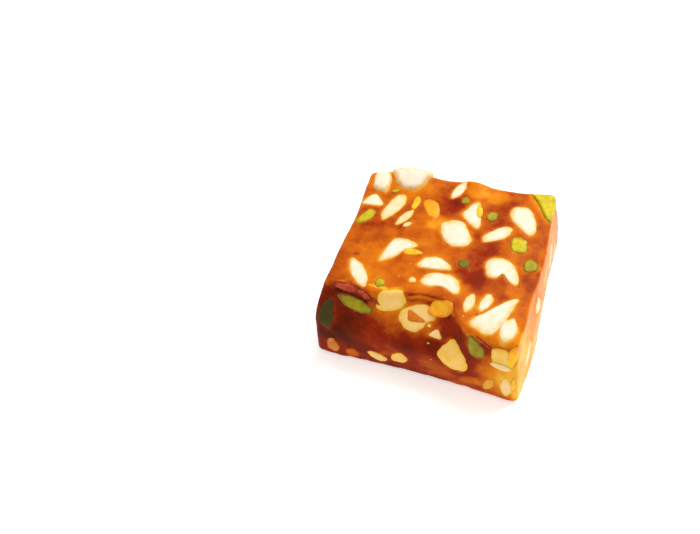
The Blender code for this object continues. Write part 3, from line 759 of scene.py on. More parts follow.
SUNK_NUTS = (
    Nut("sunk", C, TOP, 5.3, 21.2, 6.4, 5.0, -20, 3.0, sunk=0.8),
    Nut("sunk", C, TOP, 11.0, 20.6, 6.6, 4.0, 30, 3.0, sunk=1.6),
    Nut("sunk", C, TOP, -2.6, 8.6, 6.0, 4.0, 40, 3.0, sunk=1.3),
    Nut("sunk", C, TOP, 21.5, -8.0, 6.0, 5.0, 70, 3.0, sunk=1.4),
    Nut("sunk", C, FRONT, 14.0, 4.6, 6.0, 3.6, 14, 3.0, sunk=1.6),
    Nut("sunk", C, FRONT, -15.8, 3.0, 4.0, 3.6, 20, 2.0, Cut.BLOCK, sunk=0.5),
    Nut("sunk", C, RIGHT, -20.0, 14.0, 6.0, 4.0, 60, 3.0, sunk=0.6),
    Nut("sunk", C, RIGHT, -10.0, 4.0, 7.0, 3.6, 10, 3.0, sunk=0.8),
    Nut("sunk", C, RIGHT, 4.0, 13.6, 6.0, 3.6, 20, 3.0, sunk=0.8),
    Nut("sunk", C, RIGHT, 18.0, 5.0, 6.0, 4.0, -20, 3.0, sunk=0.8),
    Nut("sunk", C, BACK, -22.0, 14.0, 5.0, 4.0, 20, 3.0, sunk=0.8),
    Nut("sunk", C, BACK, -4.0, 5.0, 6.0, 3.8, 30, 3.0, sunk=1.0),
    Nut("sunk", C, BACK, 8.0, 13.5, 6.0, 4.0, -20, 3.0, sunk=0.9),
    Nut("sunk", C, BACK, 20.0, 6.0, 6.0, 4.0, 50, 3.0, sunk=0.9),
    Nut("sunk", C, LEFT, -20.0, 5.0, 5.0, 4.0, 30, 3.0, sunk=1.0),
    Nut("sunk", C, LEFT, -10.0, 14.0, 6.0, 3.6, 10, 3.0, sunk=0.9),
    Nut("sunk", C, LEFT, 8.0, 5.0, 6.0, 4.0, -30, 3.0, sunk=0.9),
    Nut("sunk", C, LEFT, 20.0, 13.0, 5.0, 4.0, 40, 3.0, sunk=0.8),
)


def numbered(nuts: Sequence[Nut], phases: tuple[float, float]) -> list[tuple[float, Nut]]:
    """Pair each nut with the phase of the lumps in its outline."""
    step, first = phases
    return [(step * number + first, nut) for number, nut in enumerate(nuts)]


# Where most of a noise's values lie, and the colour sockets of a mix node by number.
NOISE_MIDDLE = (0.3, 0.7)
COLOUR_MIX_INPUTS = (0, 6, 7)
COLOUR_MIX_OUTPUT = 2


@dataclass
class NodeSheet:
    """A tree of shader nodes, and short ways to add nodes to it."""

    tree: bpy.types.ShaderNodeTree

    def __post_init__(self) -> None:
        """Take places in the object's own space."""
        self.place = self.tree.nodes.new("ShaderNodeTexCoord").outputs["Object"]

    def link(self, source: Socket, target: Socket) -> None:
        """Join two sockets."""
        self.tree.links.new(source, target)

    def attribute(self, name: str) -> Socket:
        """Read a per-vertex value.

        Args:
            name: the attribute's name.

        Returns:
            The value.
        """
        node = self.tree.nodes.new("ShaderNodeAttribute")
        node.attribute_name = name
        return node.outputs["Fac"]

    def noise(self, size: float, detail: float = 3.0, roughness: float = 0.5,
              stretch: Sequence[float] = (1, 1, 1), move: float = 0.0) -> Socket:
        """Add smooth noise.

        Args:
            size: size of the lumps in millimetres.
            detail: octaves.
            roughness: how strong the finer octaves are.
            stretch: scale along x, y and z.
            move: shift of the pattern in metres.

        Returns:
            The noise's value, 0 to 1.
        """
        mapping = self.tree.nodes.new("ShaderNodeMapping")
        set_inputs(mapping, Scale=tuple(stretch), Location=(move, move * 0.7, -move))
        self.link(self.place, mapping.inputs["Vector"])
        node = self.tree.nodes.new("ShaderNodeTexNoise")
        set_inputs(node, Scale=1 / (size * METRES), Detail=detail, Roughness=roughness)
        self.link(mapping.outputs["Vector"], node.inputs["Vector"])
        return node.outputs["Fac"]

    def math(self, kind: str, first: Socket, second: Socket | float, clamp: bool = False) -> Socket:
        """Combine two values.

        Args:
            kind: the operation.
            first: one value.
            second: the other, or a number.
            clamp: keep the result between 0 and 1.

        Returns:
            The result.
        """
        node = self.tree.nodes.new("ShaderNodeMath")
        node.operation = kind
        node.use_clamp = clamp
        self.link(first, node.inputs[0])
        if isinstance(second, float):
            node.inputs[1].default_value = second
        else:
            self.link(second, node.inputs[1])
        return node.outputs[0]

    def span(self, value: Socket, low: float, high: float, to_low: float = 0.0,
             to_high: float = 1.0) -> Socket:
        """Map low..high to to_low..to_high with eased, clamped ends.

        Args:
            value: what is mapped.
            low: where it starts to change.
            high: where it stops.
            to_low: result up to low.
            to_high: result from high on.

        Returns:
            The result.
        """
        node = self.tree.nodes.new("ShaderNodeMapRange")
        node.interpolation_type = "SMOOTHSTEP"
        set_inputs(node, From_Min=low, From_Max=high, To_Min=to_low, To_Max=to_high)
        self.link(value, node.inputs["Value"])
        return node.outputs["Result"]

    def sway(self, value: Socket, below: float, above: float) -> Socket:
        """Turn a noise into a small change, from below to above."""
        return self.span(value, *NOISE_MIDDLE, below, above)

    def ramp(self, value: Socket, stops: Sequence[tuple[float, Colour]]) -> Socket:
        """Colour by value through stops.

        Args:
            value: 0 to 1.
            stops: positions in order, each with its colour.

        Returns:
            The colour.
        """
        node = self.tree.nodes.new("ShaderNodeValToRGB")
        band = node.color_ramp
        while len(band.elements) < len(stops):
            band.elements.new(0.5)
        for element, (position, colour) in zip(band.elements, stops):
            element.position = position
            element.color = (*colour, 1.0)
        self.link(value, node.inputs["Fac"])
        return node.outputs["Color"]

    def mix(self, factor: Socket, first: Socket, second: Socket) -> Socket:
        """Mix two colours.

        Args:
            factor: 0 for the first, 1 for the second.
            first: one colour.
            second: the other.

        Returns:
            The mixed colour.
        """
        node = self.tree.nodes.new("ShaderNodeMix")
        node.data_type = "RGBA"
        for number, value in zip(COLOUR_MIX_INPUTS, (factor, first, second)):
            self.link(value, node.inputs[number])
        return node.outputs[COLOUR_MIX_OUTPUT]


class MaterialSheet(NodeSheet):
    """The nodes of a new material, round its Principled shader."""

    def __init__(self, name: str) -> None:
        """Make the material.

        Args:
            name: the material's name.
        """
        self.material = bpy.data.materials.new(name)
        self.material.use_nodes = True
        super().__init__(self.material.node_tree)
        self.shader = self.tree.nodes["Principled BSDF"]
        self.output = self.tree.nodes["Material Output"]

    def bump(self, height: Socket, distance: float, strength: float = 1.0) -> None:
        """Feed a height to the shader's normal, distance in millimetres.

        Args:
            height: the relief, 0 to 1.
            distance: how high a relief of 1 stands.
            strength: how much of it shows.
        """
        node = self.tree.nodes.new("ShaderNodeBump")
        set_inputs(node, Distance=distance * METRES, Strength=strength)
        self.link(height, node.inputs["Height"])
        self.link(node.outputs["Normal"], self.shader.inputs["Normal"])


@dataclass(frozen=True)
class JellyFinish:
    """Set starch jelly: cloudy, translucent, orange over pale nuts and brown where it is deep, with the
    painted light and shade that its tone carries.
    """

    name: str = "halwa_jelly"
    stops: tuple[tuple[float, Colour], ...] = (
        (0.0, srgb(84, 26, 8)), (0.28, srgb(150, 42, 14)), (0.52, srgb(205, 103, 18)),
        (0.74, srgb(230, 137, 20)), (1.0, srgb(246, 188, 60)))
    cloud_size: float = 9.0
    cloud_tone: float = 0.12
    wisp_size: float = 3.2
    wisp_tone: float = 0.055
    grain_size: float = 0.7
    grain_share: float = 0.35
    drag_size: float = 2.2
    drag_height: float = 0.18
    drag_strength: float = 0.6
    clearness: float = 0.1
    roughness: float = 0.25
    absorption: Colour = (0.96, 0.62, 0.12)
    density: float = 200.0

    def build(self) -> bpy.types.Material:
        """Make the material.

        Returns:
            The new material.
        """
        sheet = MaterialSheet(self.name)
        cloud = sheet.noise(self.cloud_size, 4.0, 0.55)
        wisps = sheet.noise(self.wisp_size, 3.0, 0.6, (1.0, 1.0, 1.2), 0.03)
        clouded = sheet.sway(cloud, -self.cloud_tone, self.cloud_tone)
        tone = sheet.math("ADD", sheet.attribute("tone"), clouded)
        wisped = sheet.sway(wisps, -self.wisp_tone, self.wisp_tone)
        tone = sheet.math("ADD", tone, wisped, clamp=True)
        sheet.link(sheet.ramp(tone, self.stops), sheet.shader.inputs["Base Color"])
        set_inputs(sheet.shader, Roughness=self.roughness, IOR=1.28, Transmission_Weight=self.clearness,
                   Subsurface_Weight=0.5, Subsurface_Scale=0.0016, Subsurface_Radius=(1.0, 0.36, 0.12),
                   Specular_IOR_Level=0.04)
        fine = sheet.noise(self.grain_size, 3.0, 0.55)
        drag = sheet.noise(self.drag_size, 2.0, 0.5, (0.8, 1.0, 1.0), 0.01)
        height = sheet.math("ADD", sheet.math("MULTIPLY", fine, self.grain_share), drag)
        sheet.bump(height, self.drag_height, self.drag_strength)
        volume = sheet.tree.nodes.new("ShaderNodeVolumeAbsorption")
        set_inputs(volume, Color=(*self.absorption, 1.0), Density=self.density)
        sheet.link(volume.outputs["Volume"], sheet.output.inputs["Volume"])
        return sheet.material


@dataclass(frozen=True)
class CutFlesh:
    """The look that all cut and sunk pieces share, as one node group whose inputs a finish sets."""

    name: str = "cut_flesh"
    patch_size: float = 2.4
    patch_ends: tuple[float, float] = (0.38, 0.68)
    fibre_size: float = 0.55
    fibre_ends: tuple[float, float] = (0.5, 0.75)
    fibre_strength: float = 0.2
    rim_size: float = 1.3
    rim_sway: float = 0.1
    rim_ends: tuple[float, float] = (0.6, 1.04)
    rim_strength: float = 0.9
    blotch_size: float = 1.9
    blotch_sway: float = 0.12
    film_strength: float = 0.9
    gloss_size: float = 1.1
    gloss_sway: tuple[float, float] = (-0.1, 0.12)
    pore_size: float = 0.8
    fibre_height: float = 0.5

    def group(self) -> bpy.types.ShaderNodeTree:
        """Give the group, built the first time it is asked for.

        Returns:
            A node group with colours, masks and a mean roughness in, and the pieces' colour,
            roughness and height out.
        """
        built = bpy.data.node_groups.get(self.name)
        if built:
            return built
        tree = bpy.data.node_groups.new(self.name, "ShaderNodeTree")
        for label in ("Core", "Second", "Rim", "Film", "Deep"):
            tree.interface.new_socket(label, in_out="INPUT", socket_type="NodeSocketColor")
        for label in ("Rim nearness", "Stain and shade", "Mean roughness"):
            tree.interface.new_socket(label, in_out="INPUT", socket_type="NodeSocketFloat")
        tree.interface.new_socket("Colour", in_out="OUTPUT", socket_type="NodeSocketColor")
        for label in ("Roughness", "Height"):
            tree.interface.new_socket(label, in_out="OUTPUT", socket_type="NodeSocketFloat")
        sheet = NodeSheet(tree)
        given = tree.nodes.new("NodeGroupInput").outputs
        result = tree.nodes.new("NodeGroupOutput").inputs
        patches = sheet.span(sheet.noise(self.patch_size, 3.0, 0.55), *self.patch_ends)
        colour = sheet.mix(patches, given["Core"], given["Second"])
        fibres = sheet.noise(self.fibre_size, 2.0, 0.5, (1.0, 0.35, 1.0), 0.02)
        streaks = sheet.span(fibres, *self.fibre_ends, 0.0, self.fibre_strength)
        colour = sheet.mix(streaks, colour, given["Second"])
        ragged = sheet.sway(sheet.noise(self.rim_size), -self.rim_sway, self.rim_sway)
        worn = sheet.math("ADD", given["Rim nearness"], ragged)
        colour = sheet.mix(sheet.span(worn, *self.rim_ends, 0.0, self.rim_strength), colour, given["Rim"])
        blotches = sheet.sway(sheet.noise(self.blotch_size, move=0.05), -self.blotch_sway, self.blotch_sway)
        # The stain is jelly film and, on shaded pieces, painted shade; past 1 it darkens toward the deep
        # colour, painted shade.
        stain_and_shade = sheet.math("ADD", given["Stain and shade"], blotches)
        film = sheet.math("MULTIPLY", stain_and_shade, self.film_strength, clamp=True)
        colour = sheet.mix(film, colour, given["Film"])
        colour = sheet.mix(sheet.math("SUBTRACT", stain_and_shade, 1.0, clamp=True), colour, given["Deep"])
        sheet.link(colour, result["Colour"])
        uneven = sheet.sway(sheet.noise(self.gloss_size), *self.gloss_sway)
        sheet.link(sheet.math("ADD", uneven, given["Mean roughness"]), result["Roughness"])
        pores = sheet.noise(self.pore_size, 4.0, 0.6)
        height = sheet.math("ADD", pores, sheet.math("MULTIPLY", fibres, self.fibre_height))
        sheet.link(height, result["Height"])
        return tree


@dataclass(frozen=True)
class NutFinish:
    """Cut nut flesh: pale in the middle, stained by the jelly towards the rim and under a film, where the
    film value also paints shade on pieces in the shaded front.
    """

    name: str
    core: Colour
    second: Colour
    rim: Colour
    film: Colour
    deep_film_and_shade: Colour
    roughness: float = 0.42
    glow: float = 0.25
    grain: float = 0.05

    def build(self) -> bpy.types.Material:
        """Make the material.

        Returns:
            The new material.
        """
        sheet = MaterialSheet(self.name)
        flesh = sheet.tree.nodes.new("ShaderNodeGroup")
        flesh.node_tree = CutFlesh().group()
        set_inputs(flesh, Core=(*self.core, 1.0), Second=(*self.second, 1.0), Rim=(*self.rim, 1.0),
                   Film=(*self.film, 1.0), Deep=(*self.deep_film_and_shade, 1.0), Mean_roughness=self.roughness)
        sheet.link(sheet.attribute("rim"), flesh.inputs["Rim nearness"])
        sheet.link(sheet.attribute("film"), flesh.inputs["Stain and shade"])
        sheet.link(flesh.outputs["Colour"], sheet.shader.inputs["Base Color"])
        sheet.link(flesh.outputs["Roughness"], sheet.shader.inputs["Roughness"])
        set_inputs(sheet.shader, IOR=1.46, Subsurface_Weight=self.glow, Subsurface_Scale=0.0012,
                   Subsurface_Radius=(1.0, 0.6, 0.25), Specular_IOR_Level=0.2)
        sheet.bump(flesh.outputs["Height"], self.grain)
        return sheet.material


# Colours: core, second, rim, film (also painted shade), deep (also painted shade).
CASHEW = NutFinish("cashew_flesh", srgb(240, 224, 208), srgb(238, 218, 188), srgb(236, 188, 84),
                   srgb(244, 190, 46), srgb(192, 92, 28))
PISTACHIO = NutFinish("pistachio_flesh", srgb(212, 194, 14), srgb(190, 168, 12), srgb(140, 108, 12),
                      srgb(76, 64, 10), srgb(40, 34, 0))
SKIN = NutFinish("pistachio_skin", srgb(206, 78, 42), srgb(150, 38, 14), srgb(100, 20, 8),
                 srgb(116, 28, 12), srgb(80, 18, 8), roughness=0.35, glow=0.1, grain=0.6)
BURIED = NutFinish("buried_cashew", srgb(250, 206, 120), srgb(246, 186, 84), srgb(240, 176, 84),
                   srgb(238, 170, 80), srgb(238, 170, 80))
AMBER = NutFinish("amber_piece", srgb(255, 200, 36), srgb(252, 174, 20), srgb(236, 130, 14),
                  srgb(206, 92, 14), srgb(150, 60, 12), roughness=0.25, glow=0.4, grain=0.02)
DARK_SPECK = NutFinish("dark_speck", srgb(58, 22, 14), *[srgb(40, 14, 10)] * 4)
PALE_SPECK = NutFinish("pale_speck", srgb(248, 214, 150), *[srgb(240, 190, 110)] * 4)


@dataclass
class Pieces:
    """Pieces of one finish as one mesh: cut ones stand for their solids, loose ones for none."""

    name: str
    nuts: list[tuple[float, Nut]]
    finish: NutFinish
    slot: str
    shape: BlockShape
    shift: np.ndarray
    sides: int = 28

    def build(self) -> bpy.types.Object:
        """Make the pieces.

        Returns:
            The joined, dressed object riding on the block's body.
        """
        parts = MeshParts()
        for phase, nut in self.nuts:
            points, faces, rim = nut.body(self.shape, phase, self.sides)
            parts.add(points, faces, rim=rim, film=nut.film)
        thing = parts.make(self.name, self.shift)
        thing.data.materials.append(self.finish.build())
        solids = [nut.name for _, nut in self.nuts if nut in CUT_NUTS]
        if solids:
            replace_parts(thing, *solids)
        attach(thing, BODY)
        LOG.info("%s: %d pieces", self.name, len(self.nuts))
        return thing


@dataclass(frozen=True)
class Patches:
    """Broad lighter and darker places in the jelly, each a middle, a reach and a strength; some are uneven
    cloudiness and some are painted light and shade.
    """

    spots: tuple[tuple[float, float, float, float, float], ...]

    def at(self, box: np.ndarray) -> np.ndarray:
        """Sum of the patches at points of the true box.

        Args:
            box: positions in the true box.

        Returns:
            One tone for each point.
        """
        total = np.zeros(len(box))
        for x, y, z, reach, strength in self.spots:
            away = np.linalg.norm(box - np.array([x, y, z]), axis=1)
            total = total + strength * hump(0.0, reach, away)
        return total


@dataclass(frozen=True)
class Crease:
    """A fold in the jelly that runs through a few places of one face; its tone is painted shade along a fold
    or a painted highlight along a ridge.
    """

    face: Face
    line: tuple[tuple[float, float], ...]
    width: float
    height: float
    tone: float

    def weight(self, shape: BlockShape, points: np.ndarray) -> np.ndarray:
        """How much of the fold each point has, 1 on its line.

        Args:
            shape: the block it runs over.
            points: surface points.

        Returns:
            One weight for each point.
        """
        line = np.array([shape.place(self.face, across, along) for across, along in self.line])
        pieces = [segment_distance(points, start, end) for start, end in zip(line[:-1], line[1:])]
        return hump(0.0, self.width, np.min(pieces, axis=0))


# Columns: x, y and z in the true box, reach, strength.
TONE_PATCHES_AND_PAINTED_LIGHT = Patches((
    (0.5, 17.0, 21.0, 4.0, -0.30),
    (9.5, -7.0, 21.0, 4.5, -0.28),
    (-4.0, 4.0, 21.0, 4.0, 0.06),
    (11.0, 1.5, 21.0, 5.5, -0.24),
    (-12.0, -10.0, 21.0, 8.0, 0.02),
    (-18.0, 2.0, 21.0, 7.0, -0.12),
    (-19.0, 8.0, 21.0, 5.0, -0.10),
    (9.0, 21.0, 21.0, 5.0, 0.03),
    (12.0, 16.5, 21.0, 4.5, -0.10),
    (16.0, 21.0, 21.0, 5.0, -0.10),
    (20.0, 9.0, 21.0, 5.0, -0.10),
    (22.0, -3.0, 21.0, 6.0, -0.12),
    (15.0, -20.0, 20.0, 4.0, -0.10),
    # Painted highlight: the worn crest is lightened where light falls on it.
    (-3.0, -19.0, 19.6, 3.0, 0.16),
    # Painted shade: the front's lower left corner is darkened.
    (-22.0, -24.0, 9.0, 8.0, -0.18),
    (7.0, -24.0, 16.0, 4.5, -0.17),
    (-7.0, -24.0, 8.0, 5.0, 0.08),
    (-8.0, -24.0, 3.0, 8.0, 0.05),
    (9.0, -24.0, 4.0, 6.0, 0.06),
    (16.0, -24.0, 3.0, 5.0, 0.10),
    # Painted backlit glow: the front's lower right corner is lightened.
    (23.5, -24.0, 11.0, 6.5, 0.36),
    (26.0, -24.0, 9.0, 8.0, 0.50),
))

# Columns: face, places on it, width, height, tone: painted shade where below 0, painted highlight where
# above.
CREASES_AND_PAINTED_LIGHT = (
    # Painted shadow under the pistachio skin at the front's crest.
    Crease(FRONT, ((-21.6, 19.7), (-17.4, 19.5), (-13.4, 18.4)), 0.35, -0.12, -0.5),
    Crease(FRONT, ((-3.2, 20.7), (0.0, 21.0), (3.5, 20.7), (7.0, 20.8)), 0.3, -0.10, -0.28),
    Crease(FRONT, ((-3.4, 19.5), (0.5, 19.8), (2.6, 19.4)), 0.5, -0.05, -0.14),
    Crease(FRONT, ((-2.8, 20.1), (-0.5, 20.4), (2.0, 20.1)), 0.45, 0.12, 0.22),
    Crease(FRONT, ((3.5, 20.2), (6.5, 20.3), (8.6, 19.8)), 0.6, 0.12, 0.30),
    Crease(TOP, ((-13.6, -20.8), (-9.6, -21.6)), 0.5, 0.10, 0.40),
)


@dataclass
class JellyBlock:
    """The jelly itself, as one fine closed mesh with dips under its nuts."""

    shape: BlockShape
    shift: np.ndarray
    pitch: float = 0.42
    turns: int = 4
    # Relief of the surface, and how far it reaches from the edges and the foot.
    edge_band: float = 1.5
    edge_wear: float = 1.3
    broad_relief: Unevenness = Unevenness(0.16, (9.0, 9.0, 7.0), 3.1)
    small_relief: Unevenness = Unevenness(0.05, (2.6, 2.6, 2.0), 8.7)
    side_relief: Unevenness = Unevenness(0.06, (3.5, 3.5, 2.0), 1.4)
    edge_relief: Unevenness = Unevenness(0.16, (2.2, 2.2, 2.2), 5.5)
    foot_fade: float = 0.6
    flat_foot: float = 0.3
    # Marks round the nuts: a lip outside, a dip inside and the light from their flanks.
    mark_share: float = 0.75
    mark_margin: float = 2.5
    mark_sides: int = 60
    laid_depth: float = 3.2
    raised_depth: float = 1.2
    lip: Swell = Swell(0.07, 0.12, 0.3)
    dip: float = 0.45
    dip_ends: tuple[float, float] = (0.1, -0.35)
    halo_reach: float = 0.38
    halo_tone: float = 0.84
    halo_patches: Unevenness = Unevenness(1.0, (2.4, 2.4, 2.4), 6.2)
    halo_ends: tuple[float, float] = (-0.3, 0.3)
    halo_floor: float = 0.5
    # Tone: light from nuts behind the surface, and the ground that it is added to, which holds painted
    # light: a lighter top where light falls, a painted backlit glow on the right face and a lighter worn
    # slope under the crest, with the front left darker as painted shade.
    sight: float = 12.0
    glow_reach: float = 1.4
    glow: float = 0.45
    tone_rounds: int = 3
    front_tone: float = 0.20
    top_painted_light: float = 0.30
    top_ends: tuple[float, float] = (2.6, 0.3)
    right_painted_backlight: float = 0.50
    right_band: float = 2.0
    slope_painted_light: float = 0.42
    slope_ends: tuple[float, float] = (12.5, 17.0)
    slope_width: Swell = Swell(1.0, -3.0, 9.0)
    slope_band: float = 2.0

    def relief(self, points: np.ndarray, box: np.ndarray) -> np.ndarray:
        """Height of the surface over the smooth form, in millimetres.

        Args:
            points: surface points of the real block.
            box: the same points in the true box.

        Returns:
            One height for each point.
        """
        high = self.shape.high
        past = np.abs(box[:, :2]) - high[:2]
        sides = ramp(-self.edge_band, 0.0, past.max(axis=1))
        top = ramp(-self.edge_band, 0.0, box[:, 2] - high[2])
        ends = np.minimum(box[:, 2], high[2] - box[:, 2])
        near_edge = np.sort(np.abs(np.column_stack([past, ends])), axis=1)[:, 1]
        height = self.broad_relief.at(points) + self.small_relief.at(points)
        height = height + sides * (1 - top) * self.side_relief.at(points)
        height = height + hump(0.0, self.edge_wear, near_edge) * self.edge_relief.at(points)
        return height * ramp(0.0, self.foot_fade, points[:, 2])

    def nut_marks(self, points: np.ndarray) -> tuple[np.ndarray, np.ndarray]:
        """Dip the surface under each cut nut and lift a thin lip of jelly round it.

        Args:
            points: surface points, in the block's own frame.

        Returns:
            The change in height, and how strongly a pale nut's flank lights each point, 0 to 1.
        """
        change, halo = np.zeros(len(points)), np.zeros(len(points))
        for phase, nut in numbered(CUT_NUTS + CHIPS + AMBER_PIECES, CUT_PHASES):
            middle, lengthwise, crosswise, outward = nut.frame(self.shape)
            away = points - middle
            reach = self.mark_share * max(nut.length, nut.width) + self.mark_margin
            thick = self.laid_depth if nut.laid else self.raised_depth
            within = (np.linalg.norm(away, axis=1) < reach) & (np.abs(away @ outward) < thick)
            near = np.flatnonzero(within)
            flat = np.stack([away[near] @ lengthwise, away[near] @ crosswise], axis=-1)
            edge = signed_distance(flat, nut.outline(phase, self.mark_sides))
            change[near] += self.lip.at(edge) - self.dip * ramp(*self.dip_ends, edge)
            if nut.stuff is Stuff.CASHEW and nut not in AMBER_PIECES:
                glow = (1 - nut.film) * np.exp(-np.maximum(edge, 0) / self.halo_reach)
                halo[near] = np.maximum(halo[near], glow)
        broken = ramp(*self.halo_ends, self.halo_patches.at(points))
        return change, halo * (self.halo_floor + (1 - self.halo_floor) * broken)

    def tone(self, points: np.ndarray, normals: np.ndarray, nuts: BVHTree) -> np.ndarray:
        """How bright the jelly looks: nuts close behind the surface light it up.

        Args:
            points: surface points, in the block's own frame.
            normals: outward directions there.
            nuts: every nut body, in the same frame.

        Returns:
            A value for each point, 0 where no nut is near to 1 right over one.
        """
        depth = np.full(len(points), self.sight)
        for k, (point, normal) in enumerate(zip(points.tolist(), normals.tolist())):
            start, inward = Vector(point), -Vector(normal)
            _, _, _, behind = nuts.ray_cast(start, inward, self.sight)
            if behind is not None:
                depth[k] = behind
        return np.exp(-depth / self.glow_reach)

    def tone_with_painted_light(self, box: np.ndarray) -> np.ndarray:
        """Tone of the plain jelly, with painted light: brown on the front, painted shade, orange on the lit
        top, golden at the right, a painted backlit glow.

        Args:
            box: surface points in the true box.

        Returns:
            One tone for each point.
        """
        x, y, z = box.T
        below, above = self.top_ends
        top = ramp(self.shape.height - below, self.shape.height - above, z)
        right = ramp(-self.right_band, 0.0, x - self.shape.half_width) * (1 - top)
        slope = ramp(*self.slope_ends, z) * (1 - top) * self.slope_width.at(x)
        slope = slope * ramp(self.slope_band, 0.0, y + self.shape.half_depth)
        # Painted light: the top's lift, the right face's glow and the worn slope's lift; the front keeps
        # only the darker base as painted shade.
        return self.front_tone + self.top_painted_light * top + self.right_painted_backlight * right + self.slope_painted_light * slope

    def build(self, nuts: BVHTree) -> bpy.types.Object:
        """Make the jelly.

        Args:
            nuts: every nut body, in the block's own frame.

        Returns:
            The dressed object riding on the block's body.
        """
        points, faces = self.shape.shell(self.pitch, self.turns)
        box = self.shape.unslump(points)
        parts = MeshParts()
        parts.add(points, faces)
        thing = parts.make("jelly", self.shift)
        normals = np.zeros(len(points) * 3, dtype=np.float32)
        thing.data.vertex_normals.foreach_get("vector", normals)
        normals = normals.reshape(-1, 3)
        marks, halo = self.nut_marks(points)
        tone = self.tone_with_painted_light(box) + TONE_PATCHES_AND_PAINTED_LIGHT.at(box) + self.glow * self.tone(points, normals, nuts)
        tone = blur(tone, thing.data, self.tone_rounds)
        height = self.relief(points, box) + marks
        for crease in CREASES_AND_PAINTED_LIGHT:
            weight = crease.weight(self.shape, points)
            # A crease's tone paints shade into a fold or a highlight onto a ridge.
            tone = tone + crease.tone * weight
            height = height + crease.height * weight
        tone = np.maximum(tone, halo * self.halo_tone + tone * (1 - halo))
        height = np.where(box[:, 2] < self.flat_foot, 0.0, height)
        moved = (points + self.shift + height[:, None] * normals) * METRES
        thing.data.vertices.foreach_set("co", moved.astype(np.float32).ravel())
        layer = thing.data.attributes.new("tone", "FLOAT", "POINT")
        layer.data.foreach_set("value", np.clip(tone, 0, 1).astype(np.float32))
        thing.data.update()
        thing.data.materials.append(JellyFinish().build())
        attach(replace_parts(thing, "halwa_block"), BODY)
        LOG.info("jelly: %d faces", len(faces))
        return thing


@dataclass
class Scatter:
    """Tiny crumbs in the surface, spread by a node tree with a fixed seed."""

    name: str
    density: float
    small: float
    large: float
    finish: NutFinish
    slot: str
    seed: int
    flattest: tuple[float, float, float] = (0.6, 0.5, 0.3)
    fullest: tuple[float, float, float] = (1.3, 1.0, 0.5)
    floor_gap: float = 0.02

    def tree(self, material: bpy.types.Material) -> bpy.types.NodeTree:
        """Build the node tree that spreads the crumbs.

        Args:
            material: what they are made of.

        Returns:
            A geometry node tree with named inputs for density and sizes.
        """
        tree = bpy.data.node_groups.new(self.name, "GeometryNodeTree")
        tree.interface.new_socket("Surface", in_out="INPUT", socket_type="NodeSocketGeometry")
        for label in ("Density", "Smallest", "Largest"):
            tree.interface.new_socket(label, in_out="INPUT", socket_type="NodeSocketFloat")
        tree.interface.new_socket("Crumbs", in_out="OUTPUT", socket_type="NodeSocketGeometry")

        def add(kind: str, **sources: Socket) -> bpy.types.Node:
            """Add a node and link its named inputs.

            Args:
                kind: the node's type.
                sources: what each input is linked to.

            Returns:
                The new node.
            """
            node = tree.nodes.new(kind)
            for name, source in sources.items():
                tree.links.new(source, node.inputs[name])
            return node

        given = add("NodeGroupInput").outputs
        spread = add("GeometryNodeDistributePointsOnFaces", Mesh=given["Surface"], Density=given["Density"])
        set_inputs(spread, Seed=self.seed)
        crumb = add("GeometryNodeMeshIcoSphere")
        set_inputs(crumb, Radius=1.0, Subdivisions=2)
        size = add("FunctionNodeRandomValue")
        size.data_type = "FLOAT"
        set_inputs(size, Seed=self.seed + 1)
        # The random node's plain numbers are its third and fourth inputs, its vectors the first two.
        for number, label in ((2, "Smallest"), (3, "Largest")):
            tree.links.new(given[label], size.inputs[number])
        squash = add("FunctionNodeRandomValue")
        squash.data_type = "FLOAT_VECTOR"
        set_inputs(squash, Seed=self.seed + 2)
        for number, proportions in enumerate((self.flattest, self.fullest)):
            squash.inputs[number].default_value = proportions
        scale = add("ShaderNodeVectorMath")
        scale.operation = "SCALE"
        tree.links.new(squash.outputs[0], scale.inputs[0])
        tree.links.new(size.outputs[1], scale.inputs["Scale"])
        laid = add("GeometryNodeInstanceOnPoints", Points=spread.outputs["Points"],
                   Instance=crumb.outputs["Mesh"], Rotation=spread.outputs["Rotation"],
                   Scale=scale.outputs[0])
        real = add("GeometryNodeRealizeInstances", Geometry=laid.outputs["Instances"])
        dress = add("GeometryNodeSetMaterial", Geometry=real.outputs["Geometry"])
        set_inputs(dress, Material=material)
        add("NodeGroupOutput", Crumbs=dress.outputs["Geometry"])
        return tree

    def build(self, surface: bpy.types.Object) -> bpy.types.Object:
        """Spread the crumbs over a surface.

        Args:
            surface: the object whose faces carry them.

        Returns:
            A plain mesh object of all the crumbs.
        """
        tree = self.tree(self.finish.build())
        carrier = stand(self.name + "_carrier", surface.data.copy())
        modifier = carrier.modifiers.new(self.name, "NODES")
        modifier.node_group = tree
        wanted = {"Density": self.density / METRES ** 2, "Smallest": self.small * METRES,
                  "Largest": self.large * METRES}
        for item in tree.interface.items_tree:
            if item.in_out == "INPUT" and item.name in wanted:
                modifier[item.identifier] = float(wanted[item.name])
        bpy.context.view_layer.update()
        graph = bpy.context.evaluated_depsgraph_get()
        mesh = bpy.data.meshes.new_from_object(carrier.evaluated_get(graph))
        bpy.data.objects.remove(carrier)
        if min((vertex.co.z for vertex in mesh.vertices), default=0.0) < 0:
            for vertex in mesh.vertices:
                vertex.co.z = max(vertex.co.z, self.floor_gap * METRES)
        mesh.polygons.foreach_set("use_smooth", [True] * len(mesh.polygons))
        thing = stand(self.name, mesh)
        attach(thing, BODY)
        LOG.info("%s: %d faces", self.name, len(mesh.polygons))
        return thing


